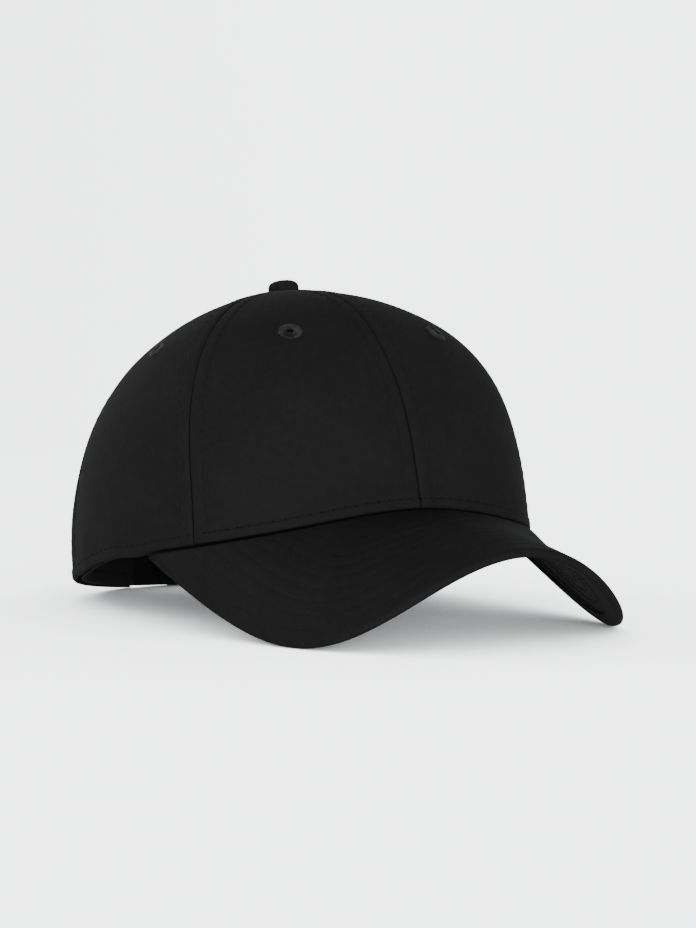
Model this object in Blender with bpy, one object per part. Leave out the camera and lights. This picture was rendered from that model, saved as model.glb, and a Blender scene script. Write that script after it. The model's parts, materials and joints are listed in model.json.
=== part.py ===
"""Six-panel baseball cap with a curved visor and a hook-and-loop closure, resting on a table.

The cap is drawn upright in its own frame and then tipped, by the parent empty, onto the three places
it rests on: the visor's two low corners and the hem at the back. The front is -Y, the wearer's left is
+X and up is +Z. A point of the crown is named by phi, the turn about the button from the front toward
the wearer's left, and t, the climb from the hem (0) to the button (1).
"""

import math

import bmesh
import bpy
from mathutils import Matrix, Vector

MM = 0.001
GAP = 0.3 * MM
UPRIGHT = Vector((0.0, 0.0, 1.0))

# Crown: a dome over a superellipse plan, with the button's axis at the origin of the plan.
CROWN_HALF_WIDTH = 87.4 * MM
CROWN_FRONT = 79.1 * MM
CROWN_BACK = 118.0 * MM
PLAN_POWER = 2.32
CROWN_HEIGHT = 110.3 * MM
BUTTON_BACKSET = 6.2 * MM
# Section of the dome at the front, side and back: how full its top is, and how upright its wall is.
TOP_POWERS = (2.09, 1.85, 1.60)
WALL_POWERS = (2.54, 3.20, 1.70)
HEM_FRONT_RISE = 7.6 * MM
HEM_SIDE_RISE = 0.85 * MM

# Crown layers, from the outer face inward.
PANEL_THICK = 0.8 * MM
BUCKRAM_THICK = 0.6 * MM
TAPE_THICK = 0.4 * MM
SWEATBAND_THICK = 0.6 * MM
BUCKRAM_FACE = -(PANEL_THICK + GAP)
FRONT_TAPE_FACE = BUCKRAM_FACE - BUCKRAM_THICK - GAP
BACK_TAPE_FACE = BUCKRAM_FACE
SWEATBAND_FACE = FRONT_TAPE_FACE - TAPE_THICK - 1.1 * MM

SEAM_TURN = math.radians(60)
PANEL_TOP_RADIUS = 3.2 * MM
BUCKRAM_TOP_RADIUS = 12.0 * MM
TAPE_TOP_RADIUS = 17.0 * MM
TAPE_HALF_WIDTH = 7.5 * MM
SWEATBAND_HEIGHT = 32.0 * MM
SWEATBAND_LIFT = 0.8 * MM

# Arch at the back, above the straps.
ARCH_HALF_WIDTH = 30.0 * MM
ARCH_HEIGHT = 45.0 * MM
ARCH_POWER = 2.6
BINDING_WIDTH = 9.0 * MM
BINDING_THICK = 0.5 * MM

# Eyelets, one on the middle of each panel.
EYELET_CLIMB = 0.463
EYELET_RADIUS = 4.8 * MM
EYELET_HOLE_RADIUS = 1.0 * MM
EYELET_BARREL_RADIUS = 1.6 * MM
EYELET_FLANGE = 0.5 * MM

# Button on top.
BUTTON_RADIUS = 6.45 * MM
BUTTON_HEIGHT = 6.3 * MM
BUTTON_COVER_THICK = 0.7 * MM
BUTTON_SHELL_THICK = 0.5 * MM
BUTTON_SEGMENTS = 24
RIVET_RADIUS = 1.3 * MM
RIVET_HEAD_RADIUS = 5.0 * MM
RIVET_HEAD_THICK = 0.8 * MM

# Visor: its outer edge is a quartic curve from the front middle to the end of the visor seam.
VISOR_END = math.radians(76.4)
VISOR_REACH = 63.2 * MM
VISOR_FRONT_DROP = 16.8 * MM
VISOR_FRONT_SPREAD = 44.2 * MM
VISOR_CORNER = Vector((73.2 * MM, -114.2 * MM, -64.6 * MM))
VISOR_END_REACH = 73.9 * MM
VISOR_END_DROP = 0.655
VISOR_END_TURN = math.radians(-6.1)
VISOR_CAMBER = 1.0 * MM
VISOR_BOARD_HALF = 0.7 * MM
VISOR_COVER_THICK = 0.4 * MM
VISOR_COVER_LIP = 1.4 * MM
VISOR_SEAM_GAP = 0.9 * MM
# How far the middle sheet lies above the seam line and above the outer edge's curve.
VISOR_SEAM_SET = -1.1 * MM
VISOR_EDGE_SET = 0.5 * MM

# Closure: two straps on one cone about an upright axis behind the button. They lean in with the wall.
STRAP_RADIUS = 91.5 * MM
STRAP_AXIS_Y = CROWN_BACK - PANEL_THICK - GAP - STRAP_RADIUS
STRAP_LEAN = math.radians(9)
STRAP_THICK = 0.9 * MM
FASTENER_THICK = 0.7 * MM
STRAP_BOTTOM = 0.8 * MM
STRAP_WIDTH = 20.0 * MM
FASTENER_INSET = 1.5 * MM
HOOK_STRAP_FOLD_X = -26.5 * MM
HOOK_STRAP_SEWN_X = -43.0 * MM
HOOK_STRAP_TIP_X = 23.0 * MM
HOOK_TAPE_X = (-9.0 * MM, 21.5 * MM)
LOOP_STRAP_SEWN_X = 44.0 * MM
LOOP_STRAP_TIP_X = -16.0 * MM
LOOP_TAPE_X = (-14.5 * MM, 24.0 * MM)

LABEL_TURN = math.radians(138)
LABEL_WIDTH = 24.0 * MM
LABEL_HEIGHT = 15.0 * MM
LABEL_LOW = 11.0 * MM
LABEL_THICK = 0.3 * MM

PANEL_COLUMNS = 8
ROWS_OVER_ARCH = 8
ARCH_STEPS = (0.0, 0.3, 0.55, 0.75, 0.88, 0.96, 0.996, 1.02)
HIGHEST_ROW = 0.92
VISOR_COLUMNS = 26
VISOR_ROWS = 4
# The layers stop a little short of the seam's ends, where the visor has no depth.
VISOR_SHARE = 0.965

TWILL = (0.014, 0.014, 0.015)
TWILL_DARK = (0.009, 0.009, 0.010)
THREAD = (0.030, 0.031, 0.033)
STIFFENER = (0.05, 0.05, 0.052)
BOARD = (0.30, 0.31, 0.32)
METAL = (0.55, 0.55, 0.54)
LABEL = (0.55, 0.55, 0.55)


def blend(a, b, share):
    return a + (b - a) * share


def by_direction(values, phi):
    """The front or back value toward -Y or +Y, easing to the side value toward X."""
    front, side, back = values
    facing = math.cos(phi) ** 2
    return (front if math.cos(phi) > 0 else back) * facing + side * (1 - facing)


def plan_point(phi):
    """Where the hem lies in the plan."""
    sine = math.sin(phi)
    cosine = math.cos(phi)
    length = (abs(sine) ** PLAN_POWER + abs(cosine) ** PLAN_POWER) ** (-1 / PLAN_POWER)
    depth = CROWN_FRONT if cosine > 0 else CROWN_BACK
    return CROWN_HALF_WIDTH * sine * length, -depth * cosine * length


def hem_height(phi):
    turn = abs(math.remainder(phi, math.tau))
    front_rise = HEM_FRONT_RISE * max(math.cos(0.9 * turn), 0.0) ** 7
    return front_rise + HEM_SIDE_RISE * math.sin(turn) ** 2


def crown_surface(phi, t):
    """A point of the crown's outer face."""
    climb = t * math.pi / 2
    shrink = max(math.cos(climb), 0.0) ** (2 / by_direction(TOP_POWERS, phi))
    height = max(math.sin(climb), 0.0) ** (2 / by_direction(WALL_POWERS, phi))
    x, y = plan_point(phi)
    low = hem_height(phi)
    return Vector((x * shrink, blend(BUTTON_BACKSET, y, shrink), blend(low, CROWN_HEIGHT, height)))


def crown_normal(phi, t):
    step = 1e-3
    across = crown_surface(phi + step, t) - crown_surface(phi - step, t)
    upward = crown_surface(phi, t + step) - crown_surface(phi, max(t - step, 0.0))
    return across.cross(upward).normalized()


def crown_point(phi, t, out):
    """A point the distance out from the crown's outer face."""
    return crown_surface(phi, t) + crown_normal(phi, t) * out


def bisect(rises, low, high):
    """The value between low and high where rises turns from negative to positive."""
    for _ in range(40):
        middle = (low + high) / 2
        if rises(middle) < 0:
            low = middle
        else:
            high = middle
    return (low + high) / 2


def radius_at(phi, t):
    point = crown_surface(phi, t)
    return math.hypot(point.x, point.y - BUTTON_BACKSET)


def climb_at_radius(phi, radius):
    return bisect(lambda t: radius - radius_at(phi, t), 0.5, 1.0)


def climb_at_height(phi, height):
    return bisect(lambda t: crown_surface(phi, t).z - height, 0.0, 1.0)


def arch_half_width(height):
    if height >= ARCH_HEIGHT:
        return 0.0
    return ARCH_HALF_WIDTH * (1 - (height / ARCH_HEIGHT) ** ARCH_POWER) ** (1 / ARCH_POWER)


def arch_turn(t):
    """The phi of the arch's edge on the wearer's left, or a half turn above the arch."""
    if crown_surface(math.pi, t).z >= ARCH_HEIGHT:
        return math.pi

    def past_edge(phi):
        point = crown_surface(phi, t)
        return arch_half_width(point.z) - point.x

    return bisect(past_edge, 2 * SEAM_TURN, math.pi)


def back_point(x, height, out):
    """A point of the back of the crown, named by its place across and its height."""

    def past(turn):
        return x - crown_surface(turn, climb_at_height(turn, height)).x

    turn = bisect(past, math.radians(100), math.radians(260))
    return crown_point(turn, climb_at_height(turn, height), out)


def crown_rows():
    """The t of every row of the crown's grids: close together where the arch closes."""
    low = [climb_at_height(math.pi, share * ARCH_HEIGHT) for share in ARCH_STEPS]
    low[0] = 0.0
    high = [blend(low[-1], HIGHEST_ROW, (i + 1) / ROWS_OVER_ARCH) for i in range(ROWS_OVER_ARCH)]
    return low + high


def visor_edge(w):
    """The visor's outer edge, from the front middle (0) to the end on the wearer's left (1)."""
    end = crown_surface(VISOR_END, 0.0)
    front = Vector((0.0, -(CROWN_FRONT + VISOR_REACH), -VISOR_FRONT_DROP))
    turn = VISOR_END_TURN
    toward = Vector((math.sin(turn), -math.cos(turn), -VISOR_END_DROP))
    knots = (
        front,
        front + Vector((VISOR_FRONT_SPREAD, 0.0, 0.0)),
        VISOR_CORNER,
        end + toward * VISOR_END_REACH,
        end,
    )
    along = abs(w)
    point = Vector()
    for i, knot in enumerate(knots):
        point += knot * (math.comb(4, i) * (1 - along) ** (4 - i) * along**i)
    return Vector((math.copysign(point.x, w), point.y, point.z))


def visor_surface(w, share):
    """A point of the visor's sheet, at a share of the way from the crown's hem to the outer edge."""
    inner = crown_surface(w * VISOR_END, 0.0)
    camber = VISOR_CAMBER * math.sin(math.pi * min(max(share, 0.0), 1.0)) * (1 - min(w * w, 1.0))
    return inner.lerp(visor_edge(w), share) + Vector((0.0, 0.0, camber))


def visor_point(w, distance, out, lip=0.0):
    """A point of a visor layer: distance 0 is its seam edge and 1 is a lip inside the outer edge."""
    length = (visor_edge(w) - crown_surface(w * VISOR_END, 0.0)).length
    share = blend(VISOR_SEAM_GAP / length, 1 - lip / length, distance)
    step = 1e-3
    across = visor_surface(w + step, share) - visor_surface(w - step, share)
    forward = visor_surface(w, share + step) - visor_surface(w, share - step)
    normal = forward.cross(across).normalized()
    return visor_surface(w, share) + normal * (out + blend(VISOR_SEAM_SET, VISOR_EDGE_SET, share))


def strap_turn(x):
    """The turn about the closure's axis of a place across, measured at the straps' lower edge."""
    return math.asin(x / STRAP_RADIUS)


def strap_normal(x):
    turn = strap_turn(x)
    level = math.cos(STRAP_LEAN)
    return Vector((math.sin(turn) * level, math.cos(turn) * level, math.sin(STRAP_LEAN)))


def strap_upward(x):
    """The direction that runs up the strap's face."""
    turn = strap_turn(x)
    level = -math.sin(STRAP_LEAN)
    return Vector((math.sin(turn) * level, math.cos(turn) * level, math.cos(STRAP_LEAN)))


def strap_point(x, climb, inward):
    """A point of the closure's cone: the place across, the climb over its lower edge and the depth."""
    turn = strap_turn(x)
    foot = Vector((math.sin(turn), math.cos(turn), 0.0)) * STRAP_RADIUS
    foot += Vector((0.0, STRAP_AXIS_Y, STRAP_BOTTOM))
    return foot + strap_upward(x) * climb - strap_normal(x) * inward


def material(name, color, roughness, metallic=0.0):
    made = bpy.data.materials.new(name)
    made.use_nodes = True
    shader = made.node_tree.nodes["Principled BSDF"]
    shader.inputs["Base Color"].default_value = (*color, 1.0)
    shader.inputs["Roughness"].default_value = roughness
    shader.inputs["Metallic"].default_value = metallic
    return made


def add_object(name, bm, parent, look):
    """Finish a mesh as one shaded, named object under its parent."""
    bmesh.ops.recalc_face_normals(bm, faces=bm.faces)
    mesh = bpy.data.meshes.new(name)
    bm.to_mesh(mesh)
    bm.free()
    mesh.shade_smooth()
    mesh.set_sharp_from_angle(angle=math.radians(40))
    made = bpy.data.objects.new(name, mesh)
    made.parent = parent
    made.data.materials.append(material(name, *look))
    bpy.context.collection.objects.link(made)
    return made


def sheet(name, across, along, place, faces, parent, look):
    """A closed sheet: place(i, j, out) gives the grid's points on each of its two faces."""
    bm = bmesh.new()
    grids = []
    for out in faces:
        rows = [[place(i, j, out) for j in range(along + 1)] for i in range(across + 1)]
        grids.append([[bm.verts.new(point) for point in row] for row in rows])
    top, bottom = grids
    for i in range(across):
        for j in range(along):
            bm.faces.new((top[i][j], top[i + 1][j], top[i + 1][j + 1], top[i][j + 1]))
            bm.faces.new((bottom[i][j], bottom[i][j + 1], bottom[i + 1][j + 1], bottom[i + 1][j]))
    border = [(i, 0) for i in range(across)]
    border += [(across, j) for j in range(along)]
    border += [(i, along) for i in range(across, 0, -1)]
    border += [(0, j) for j in range(along, 0, -1)]
    for (i, j), (k, m) in zip(border, border[1:] + border[:1]):
        bm.faces.new((top[i][j], bottom[i][j], bottom[k][m], top[k][m]))
    return add_object(name, bm, parent, look)


def turned(name, profile, segments, parent, look):
    """A round piece: the closed profile of (radius, height) points turned about +Z."""
    bm = bmesh.new()
    verts = [bm.verts.new((radius, 0.0, height)) for radius, height in profile]
    edges = [bm.edges.new(pair) for pair in zip(verts, verts[1:])]
    if profile[0][0] > 0:
        edges.append(bm.edges.new((verts[-1], verts[0])))
    bmesh.ops.spin(
        bm,
        geom=verts + edges,
        cent=(0, 0, 0),
        axis=(0, 0, 1),
        angle=math.tau,
        steps=segments,
        use_merge=True,
    )
    bmesh.ops.remove_doubles(bm, verts=bm.verts, dist=1e-6)
    return add_object(name, bm, parent, look)


def cut_hole(target, center, axis, radius):
    """Cut a round hole through a sheet."""
    bm = bmesh.new()
    length = 12 * MM
    bmesh.ops.create_cone(
        bm, cap_ends=True, segments=12, radius1=radius, radius2=radius, depth=length
    )
    turn = axis.to_track_quat("Z", "Y").to_matrix().to_4x4()
    bmesh.ops.transform(bm, matrix=Matrix.Translation(center) @ turn, verts=bm.verts)
    cutter = add_object(target.name + "_cutter", bm, target.parent, (METAL, 0.5))
    cutter.hide_render = True
    cutter.display_type = "WIRE"
    hole = target.modifiers.new("eyelet_hole", "BOOLEAN")
    hole.operation = "DIFFERENCE"
    hole.object = cutter


def seam_margin(phi, t, width):
    return width / max(radius_at(phi, t), width)


def crown_sheet(name, turns, top_radius, faces, parent, look):
    """A sheet of the crown. turns(t) gives its two edges' phi on each row."""
    rows = crown_rows()

    def place(i, j, out):
        share = i / PANEL_COLUMNS
        if j < len(rows):
            start, stop = turns(rows[j])
            phi = blend(start, stop, share)
            return crown_point(phi, rows[j], out)
        start, stop = turns(climb_at_radius(turns(rows[-1])[0], top_radius))
        phi = blend(start, stop, share)
        return crown_point(phi, climb_at_radius(phi, top_radius), out)

    return sheet(name, PANEL_COLUMNS, len(rows), place, faces, parent, look)


def panel_turns(side, first, last, under_arch):
    """The edges of a panel between two seams, less half a gap at each."""

    def turns(t):
        stop = arch_turn(t) if under_arch else last
        margin = seam_margin(blend(first, stop, 0.5), t, GAP / 2 + 0.02 * MM)
        return side * (first + margin), side * (stop - margin)

    return turns


def eyelet_place(phi):
    return crown_surface(phi, EYELET_CLIMB), crown_normal(phi, EYELET_CLIMB)


def add_panels(parent):
    """Three panels on each side, and the stiffener behind each front one."""
    spans = (("front", 0, 1), ("side", 1, 2), ("back", 2, 3))
    for side, side_name in ((1, "left"), (-1, "right")):
        for place_name, first, last in spans:
            turns = panel_turns(side, first * SEAM_TURN, last * SEAM_TURN, place_name == "back")
            middle = side * (first + last) / 2 * SEAM_TURN
            center, normal = eyelet_place(middle)
            panel = crown_sheet(
                f"{place_name}_panel_{side_name}",
                turns,
                PANEL_TOP_RADIUS,
                (0.0, -PANEL_THICK),
                parent,
                (TWILL, 0.85),
            )
            cut_hole(panel, center, normal, EYELET_BARREL_RADIUS + GAP)
            if place_name == "front":
                faces = (BUCKRAM_FACE, BUCKRAM_FACE - BUCKRAM_THICK)
                stiffener = crown_sheet(
                    f"front_buckram_{side_name}", turns, BUCKRAM_TOP_RADIUS, faces, parent, (STIFFENER, 0.9)
                )
                cut_hole(stiffener, center, normal, EYELET_BARREL_RADIUS + GAP)


def add_seam_tapes(parent):
    """A narrow tape inside each of the six seams."""
    rows = crown_rows()
    names = (
        ("seam_tape_front", 0, FRONT_TAPE_FACE, 1),
        ("seam_tape_front_left", 1, FRONT_TAPE_FACE, 1),
        ("seam_tape_front_right", -1, FRONT_TAPE_FACE, 1),
        ("seam_tape_back_left", 2, BACK_TAPE_FACE, 1),
        ("seam_tape_back_right", -2, BACK_TAPE_FACE, 1),
        ("seam_tape_back", 3, BACK_TAPE_FACE, len(ARCH_STEPS) + 1),
    )
    for name, step, face, first_row in names:
        tape_rows = rows[first_row:-1]
        middle = step * SEAM_TURN
        top = climb_at_radius(middle, TAPE_TOP_RADIUS)

        def place(i, j, out):
            t = tape_rows[j] if j < len(tape_rows) else top
            phi = middle + (i - 1) * seam_margin(middle, t, TAPE_HALF_WIDTH)
            return crown_point(phi, t, out)

        sheet(name, 2, len(tape_rows), place, (face, face - TAPE_THICK), parent, (TWILL_DARK, 0.8))


def add_eyelets(parent):
    """A stitched ring round a small hole, through every panel."""
    names = ("front", "side", "back")
    for side, side_name in ((1, "left"), (-1, "right")):
        for i, place_name in enumerate(names):
            behind = FRONT_TAPE_FACE if place_name == "front" else BACK_TAPE_FACE
            below = behind - 0.3 * MM
            profile = (
                (EYELET_HOLE_RADIUS, below - EYELET_FLANGE),
                (EYELET_RADIUS, below - EYELET_FLANGE),
                (EYELET_RADIUS, below),
                (EYELET_BARREL_RADIUS, below),
                (EYELET_BARREL_RADIUS, GAP),
                (EYELET_RADIUS, GAP),
                (EYELET_RADIUS - 0.6 * MM, GAP + EYELET_FLANGE),
                (EYELET_HOLE_RADIUS, GAP + EYELET_FLANGE),
            )
            eyelet = turned(f"{place_name}_eyelet_{side_name}", profile, 10, parent, (THREAD, 0.6))
            center, normal = eyelet_place(side * (i + 0.5) * SEAM_TURN)
            eyelet.location = center
            eyelet.rotation_mode = "QUATERNION"
            eyelet.rotation_quaternion = normal.to_track_quat("Z", "Y")


def dome(radius, low, high, steps):
    """Points of a rounded button side, from its foot to its flattened top."""
    points = []
    for i in range(steps + 1):
        turn = i / steps * math.pi / 2
        points.append((radius * math.cos(turn) ** 0.7, blend(low, high, math.sin(turn) ** 0.8)))
    points[-1] = (0.0, high)
    return points


def add_button(parent):
    """Cloth cover over a pressed shell, on a rivet whose head is inside the crown."""
    seat = CROWN_HEIGHT + 2 * GAP
    top = seat + BUTTON_HEIGHT
    bore = RIVET_RADIUS + GAP
    shell_radius = BUTTON_RADIUS - BUTTON_COVER_THICK - GAP
    shell_top = top - BUTTON_COVER_THICK - GAP
    cover = [(shell_radius + GAP, seat), *dome(BUTTON_RADIUS, seat, top, 6)]
    cover += reversed(dome(shell_radius + GAP, seat + 0.01 * MM, shell_top + GAP, 6)[1:])
    shell = [(shell_radius - BUTTON_SHELL_THICK, seat), *dome(shell_radius, seat, shell_top, 6)]
    under = dome(shell_radius - BUTTON_SHELL_THICK, seat + 0.01 * MM, shell_top - BUTTON_SHELL_THICK, 6)
    shell += reversed(under[1:])
    rivet_top = shell_top - BUTTON_SHELL_THICK - GAP
    head = CROWN_HEIGHT - PANEL_THICK - 3 * GAP - 0.4 * MM
    rivet = [
        (0.0, head - RIVET_HEAD_THICK),
        (RIVET_HEAD_RADIUS, head - RIVET_HEAD_THICK),
        (RIVET_HEAD_RADIUS, head),
        (bore - GAP, head),
        (bore - GAP, rivet_top),
        (0.0, rivet_top),
    ]
    metal = (METAL, 0.4, 1.0)
    looks = {"button_cover": (TWILL, 0.85), "button_shell": metal, "button_rivet": metal}
    for name, profile in (("button_cover", cover), ("button_shell", shell), ("button_rivet", rivet)):
        made = turned(name, profile, BUTTON_SEGMENTS, parent, looks[name])
        made.location = (0.0, BUTTON_BACKSET, 0.0)


def add_sweatband(parent):
    """A band round the inside of the hem, open at the arch."""
    end = arch_turn(0.0) - math.radians(1.0)
    columns = 60

    def place(i, j, out):
        phi = blend(-end, end, i / columns)
        height = hem_height(phi) + SWEATBAND_LIFT + SWEATBAND_HEIGHT * j / 3
        return crown_point(phi, climb_at_height(phi, height), out)

    faces = (SWEATBAND_FACE, SWEATBAND_FACE - SWEATBAND_THICK)
    sheet("sweatband", columns, 3, place, faces, parent, (TWILL_DARK, 0.9))


def add_arch_binding(parent):
    """The tape that covers the arch's raw edge on the inside, down to the straps."""
    low = math.asin(((STRAP_BOTTOM + STRAP_WIDTH + 1.5 * MM) / ARCH_HEIGHT) ** (ARCH_POWER / 2))
    columns = 20

    def place(i, j, out):
        turn = blend(low, math.pi - low, i / columns)
        wider = GAP + BINDING_WIDTH * j / 2
        lean = abs(math.cos(turn)) ** (2 / ARCH_POWER)
        x = math.copysign(lean, math.cos(turn)) * (ARCH_HALF_WIDTH + wider)
        height = max(math.sin(turn), 0.0) ** (2 / ARCH_POWER) * (ARCH_HEIGHT + wider)
        return back_point(x, height, out)

    face = BACK_TAPE_FACE - GAP
    faces = (face, face - BINDING_THICK)
    sheet("arch_binding", columns, 2, place, faces, parent, (TWILL_DARK, 0.8))


def visor_sheet(name, faces, lip, parent, look):
    def place(i, j, out):
        w = VISOR_SHARE * math.sin(blend(-1, 1, i / VISOR_COLUMNS) * math.pi / 2)
        return visor_point(w, j / VISOR_ROWS, out, lip)

    return sheet(name, VISOR_COLUMNS, VISOR_ROWS, place, faces, parent, look)


def add_visor(parent):
    """A stiff board between a top cover and an under cover."""
    cover_face = VISOR_BOARD_HALF + GAP
    cover_back = cover_face + VISOR_COVER_THICK
    visor_sheet("visor_board", (VISOR_BOARD_HALF, -VISOR_BOARD_HALF), VISOR_COVER_LIP, parent, (BOARD, 0.6))
    visor_sheet("visor_top_cover", (cover_back, cover_face), 0.0, parent, (TWILL, 0.85))
    visor_sheet("visor_under_cover", (-cover_face, -cover_back), 0.0, parent, (TWILL_DARK, 0.85))


def strap_sheet(name, start, stop, inward, thick, inset, parent, look):
    """A piece of the closure between two places across, drawn in its parent's own frame."""
    columns = max(2, round(abs(stop - start) / (6 * MM)))
    from_cap = parent.matrix_basis.inverted() if parent.parent else Matrix()

    def place(i, j, out):
        climb = blend(inset, STRAP_WIDTH - inset, j)
        return from_cap @ strap_point(blend(start, stop, i / columns), climb, out)

    return sheet(name, columns, 1, place, (inward, inward + thick), parent, look)


def pivot(name, location, axis, parent):
    """An empty with its Z along a joint's axis."""
    made = bpy.data.objects.new(name, None)
    made.location = location
    made.rotation_euler = UPRIGHT.rotation_difference(axis).to_euler()
    made.parent = parent
    bpy.context.collection.objects.link(made)
    return made


def add_closure(parent):
    """The outer strap folds open at the arch's edge. The inner strap moves round the closure's axis."""
    hook_face = STRAP_THICK + GAP
    loop_face = hook_face + FASTENER_THICK + GAP
    loop_strap_face = loop_face + FASTENER_THICK + GAP
    fold = strap_point(HOOK_STRAP_FOLD_X, STRAP_WIDTH / 2, STRAP_THICK / 2)
    peel = pivot("hook_strap_fold", fold, strap_upward(HOOK_STRAP_FOLD_X), parent)
    adjust = pivot("closure_axis", (0.0, STRAP_AXIS_Y, 0.0), UPRIGHT, parent)
    cloth = (TWILL, 0.85)
    past_fold = HOOK_STRAP_FOLD_X + 0.5 * MM
    before_fold = HOOK_STRAP_FOLD_X - 0.5 * MM
    strap_sheet("hook_strap_sewn_end", HOOK_STRAP_SEWN_X, before_fold, 0.0, STRAP_THICK, 0.0, parent, cloth)
    strap_sheet("hook_strap", past_fold, HOOK_STRAP_TIP_X, 0.0, STRAP_THICK, 0.0, peel, cloth)
    hooks = (TWILL_DARK, 0.5)
    loops = (TWILL_DARK, 1.0)
    strap_sheet("hook_tape", *HOOK_TAPE_X, hook_face, FASTENER_THICK, FASTENER_INSET, peel, hooks)
    strap_sheet("loop_tape", *LOOP_TAPE_X, loop_face, FASTENER_THICK, FASTENER_INSET, adjust, loops)
    inner = (LOOP_STRAP_TIP_X, LOOP_STRAP_SEWN_X)
    strap_sheet("loop_strap", *inner, loop_strap_face, STRAP_THICK, 0.0, adjust, cloth)


def add_care_label(parent):
    """A blank woven label on the sweatband, behind the wearer's left ear."""
    middle = LABEL_TURN
    face = SWEATBAND_FACE - SWEATBAND_THICK - 2 * GAP

    def place(i, j, out):
        phi = middle + (i / 2 - 0.5) * LABEL_WIDTH / radius_at(middle, 0.1)
        return crown_point(phi, climb_at_height(phi, LABEL_LOW + LABEL_HEIGHT * j / 2), out)

    sheet("care_label", 2, 2, place, (face, face - LABEL_THICK), parent, (LABEL, 0.7))


def resting_pitch():
    """The tilt at which the visor's low corners and the hem at the back are equally low."""
    thick = -(VISOR_BOARD_HALF + GAP + VISOR_COVER_THICK)
    corners = [visor_point(0.2 + 0.02 * i, 1.0, thick) for i in range(38)]
    hem = [crown_surface(arch_turn(0.0) - 0.02 * i, 0.0) for i in range(20)]

    def back_drop(pitch):
        turn = Matrix.Rotation(pitch, 3, "X")
        visor_low = min((turn @ point).z for point in corners)
        hem_low = min((turn @ point).z for point in hem)
        return visor_low - hem_low

    return -bisect(lambda pitch: back_drop(-pitch), 0.0, math.radians(20))


def rest_on_table(cap):
    """Tip the cap onto the table and put the middle of its foot print at the origin."""
    cap.rotation_euler.x = resting_pitch()
    bpy.context.view_layer.update()
    points = []
    for made in bpy.data.objects:
        if made.type == "MESH" and not made.hide_render:
            points += [made.matrix_world @ vert.co for vert in made.data.vertices]
    lows = [min(point[i] for point in points) for i in range(3)]
    highs = [max(point[i] for point in points) for i in range(3)]
    cap.location = (-(lows[0] + highs[0]) / 2, -(lows[1] + highs[1]) / 2, -lows[2])
    bpy.context.view_layer.update()


def main():
    for old in list(bpy.data.objects):
        bpy.data.objects.remove(old)
    cap = pivot("cap", (0.0, 0.0, 0.0), UPRIGHT, None)
    add_panels(cap)
    add_seam_tapes(cap)
    add_eyelets(cap)
    add_button(cap)
    add_sweatband(cap)
    add_arch_binding(cap)
    add_visor(cap)
    add_closure(cap)
    add_care_label(cap)
    rest_on_table(cap)


main()
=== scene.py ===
"""Looks for the six-panel baseball cap: cloth panels, seams, stitching, visor, closure, stage and camera.

Every piece is drawn in the crown's own upright frame, where the front is -Y, the wearer's left is +X and
the hem lies at height 0, and is then carried into the row frame by the tilt of the closure's axis.
"""

import json
import math

import bmesh
import bpy
import numpy as np
from mathutils import Matrix, Vector


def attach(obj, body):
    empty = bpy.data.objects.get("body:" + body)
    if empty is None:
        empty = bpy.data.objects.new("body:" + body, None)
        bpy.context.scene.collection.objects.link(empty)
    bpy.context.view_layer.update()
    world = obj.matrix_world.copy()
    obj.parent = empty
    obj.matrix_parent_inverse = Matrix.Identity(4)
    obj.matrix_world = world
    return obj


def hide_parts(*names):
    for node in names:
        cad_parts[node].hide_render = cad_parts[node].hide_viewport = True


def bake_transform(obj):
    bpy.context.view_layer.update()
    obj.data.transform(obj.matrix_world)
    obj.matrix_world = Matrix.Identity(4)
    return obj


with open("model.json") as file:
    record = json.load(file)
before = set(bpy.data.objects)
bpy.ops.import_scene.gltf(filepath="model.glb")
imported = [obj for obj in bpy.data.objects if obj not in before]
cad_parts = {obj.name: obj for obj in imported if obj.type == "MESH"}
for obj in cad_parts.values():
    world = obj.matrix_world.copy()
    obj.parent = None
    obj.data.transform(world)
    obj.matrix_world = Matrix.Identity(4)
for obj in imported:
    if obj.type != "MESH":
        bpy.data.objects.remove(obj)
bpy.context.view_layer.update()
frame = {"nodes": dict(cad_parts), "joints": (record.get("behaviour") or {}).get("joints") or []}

MM = 0.001

# The crown's dome, as in the CAD.
HALF_WIDTH = 87.4 * MM
FRONT = 79.1 * MM
BACK = 118.0 * MM
PLAN_POWER = 2.32
HEIGHT = 110.3 * MM
BACKSET = 6.2 * MM
TOP_POWERS = (2.09, 1.85, 1.60)
WALL_POWERS = (2.54, 3.20, 1.70)
HEM_FRONT_RISE = 7.6 * MM
HEM_SIDE_RISE = 0.85 * MM
SEAM_TURN = math.radians(60)

# Layers, as depths below the crown's outer face.
PANEL_THICK = 0.8 * MM
BUCKRAM_DEPTH = (1.15 * MM, 1.65 * MM)
FRONT_TAPE_DEPTH = (2.0 * MM, 2.4 * MM)
BACK_TAPE_DEPTH = (1.1 * MM, 1.5 * MM)
SWEATBAND_DEPTH = (3.5 * MM, 4.3 * MM)
SWEATBAND_HEIGHT = 32.0 * MM
SWEATBAND_LIFT = 0.6 * MM

ARCH_HALF_WIDTH = 30.0 * MM
ARCH_HEIGHT = 45.0 * MM
ARCH_POWER = 2.6

EYELET_CLIMB = 0.463
EYELET_HOLE = 1.0 * MM
BUTTON_RADIUS = 6.45 * MM
BUTTON_HEIGHT = 6.3 * MM

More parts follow.
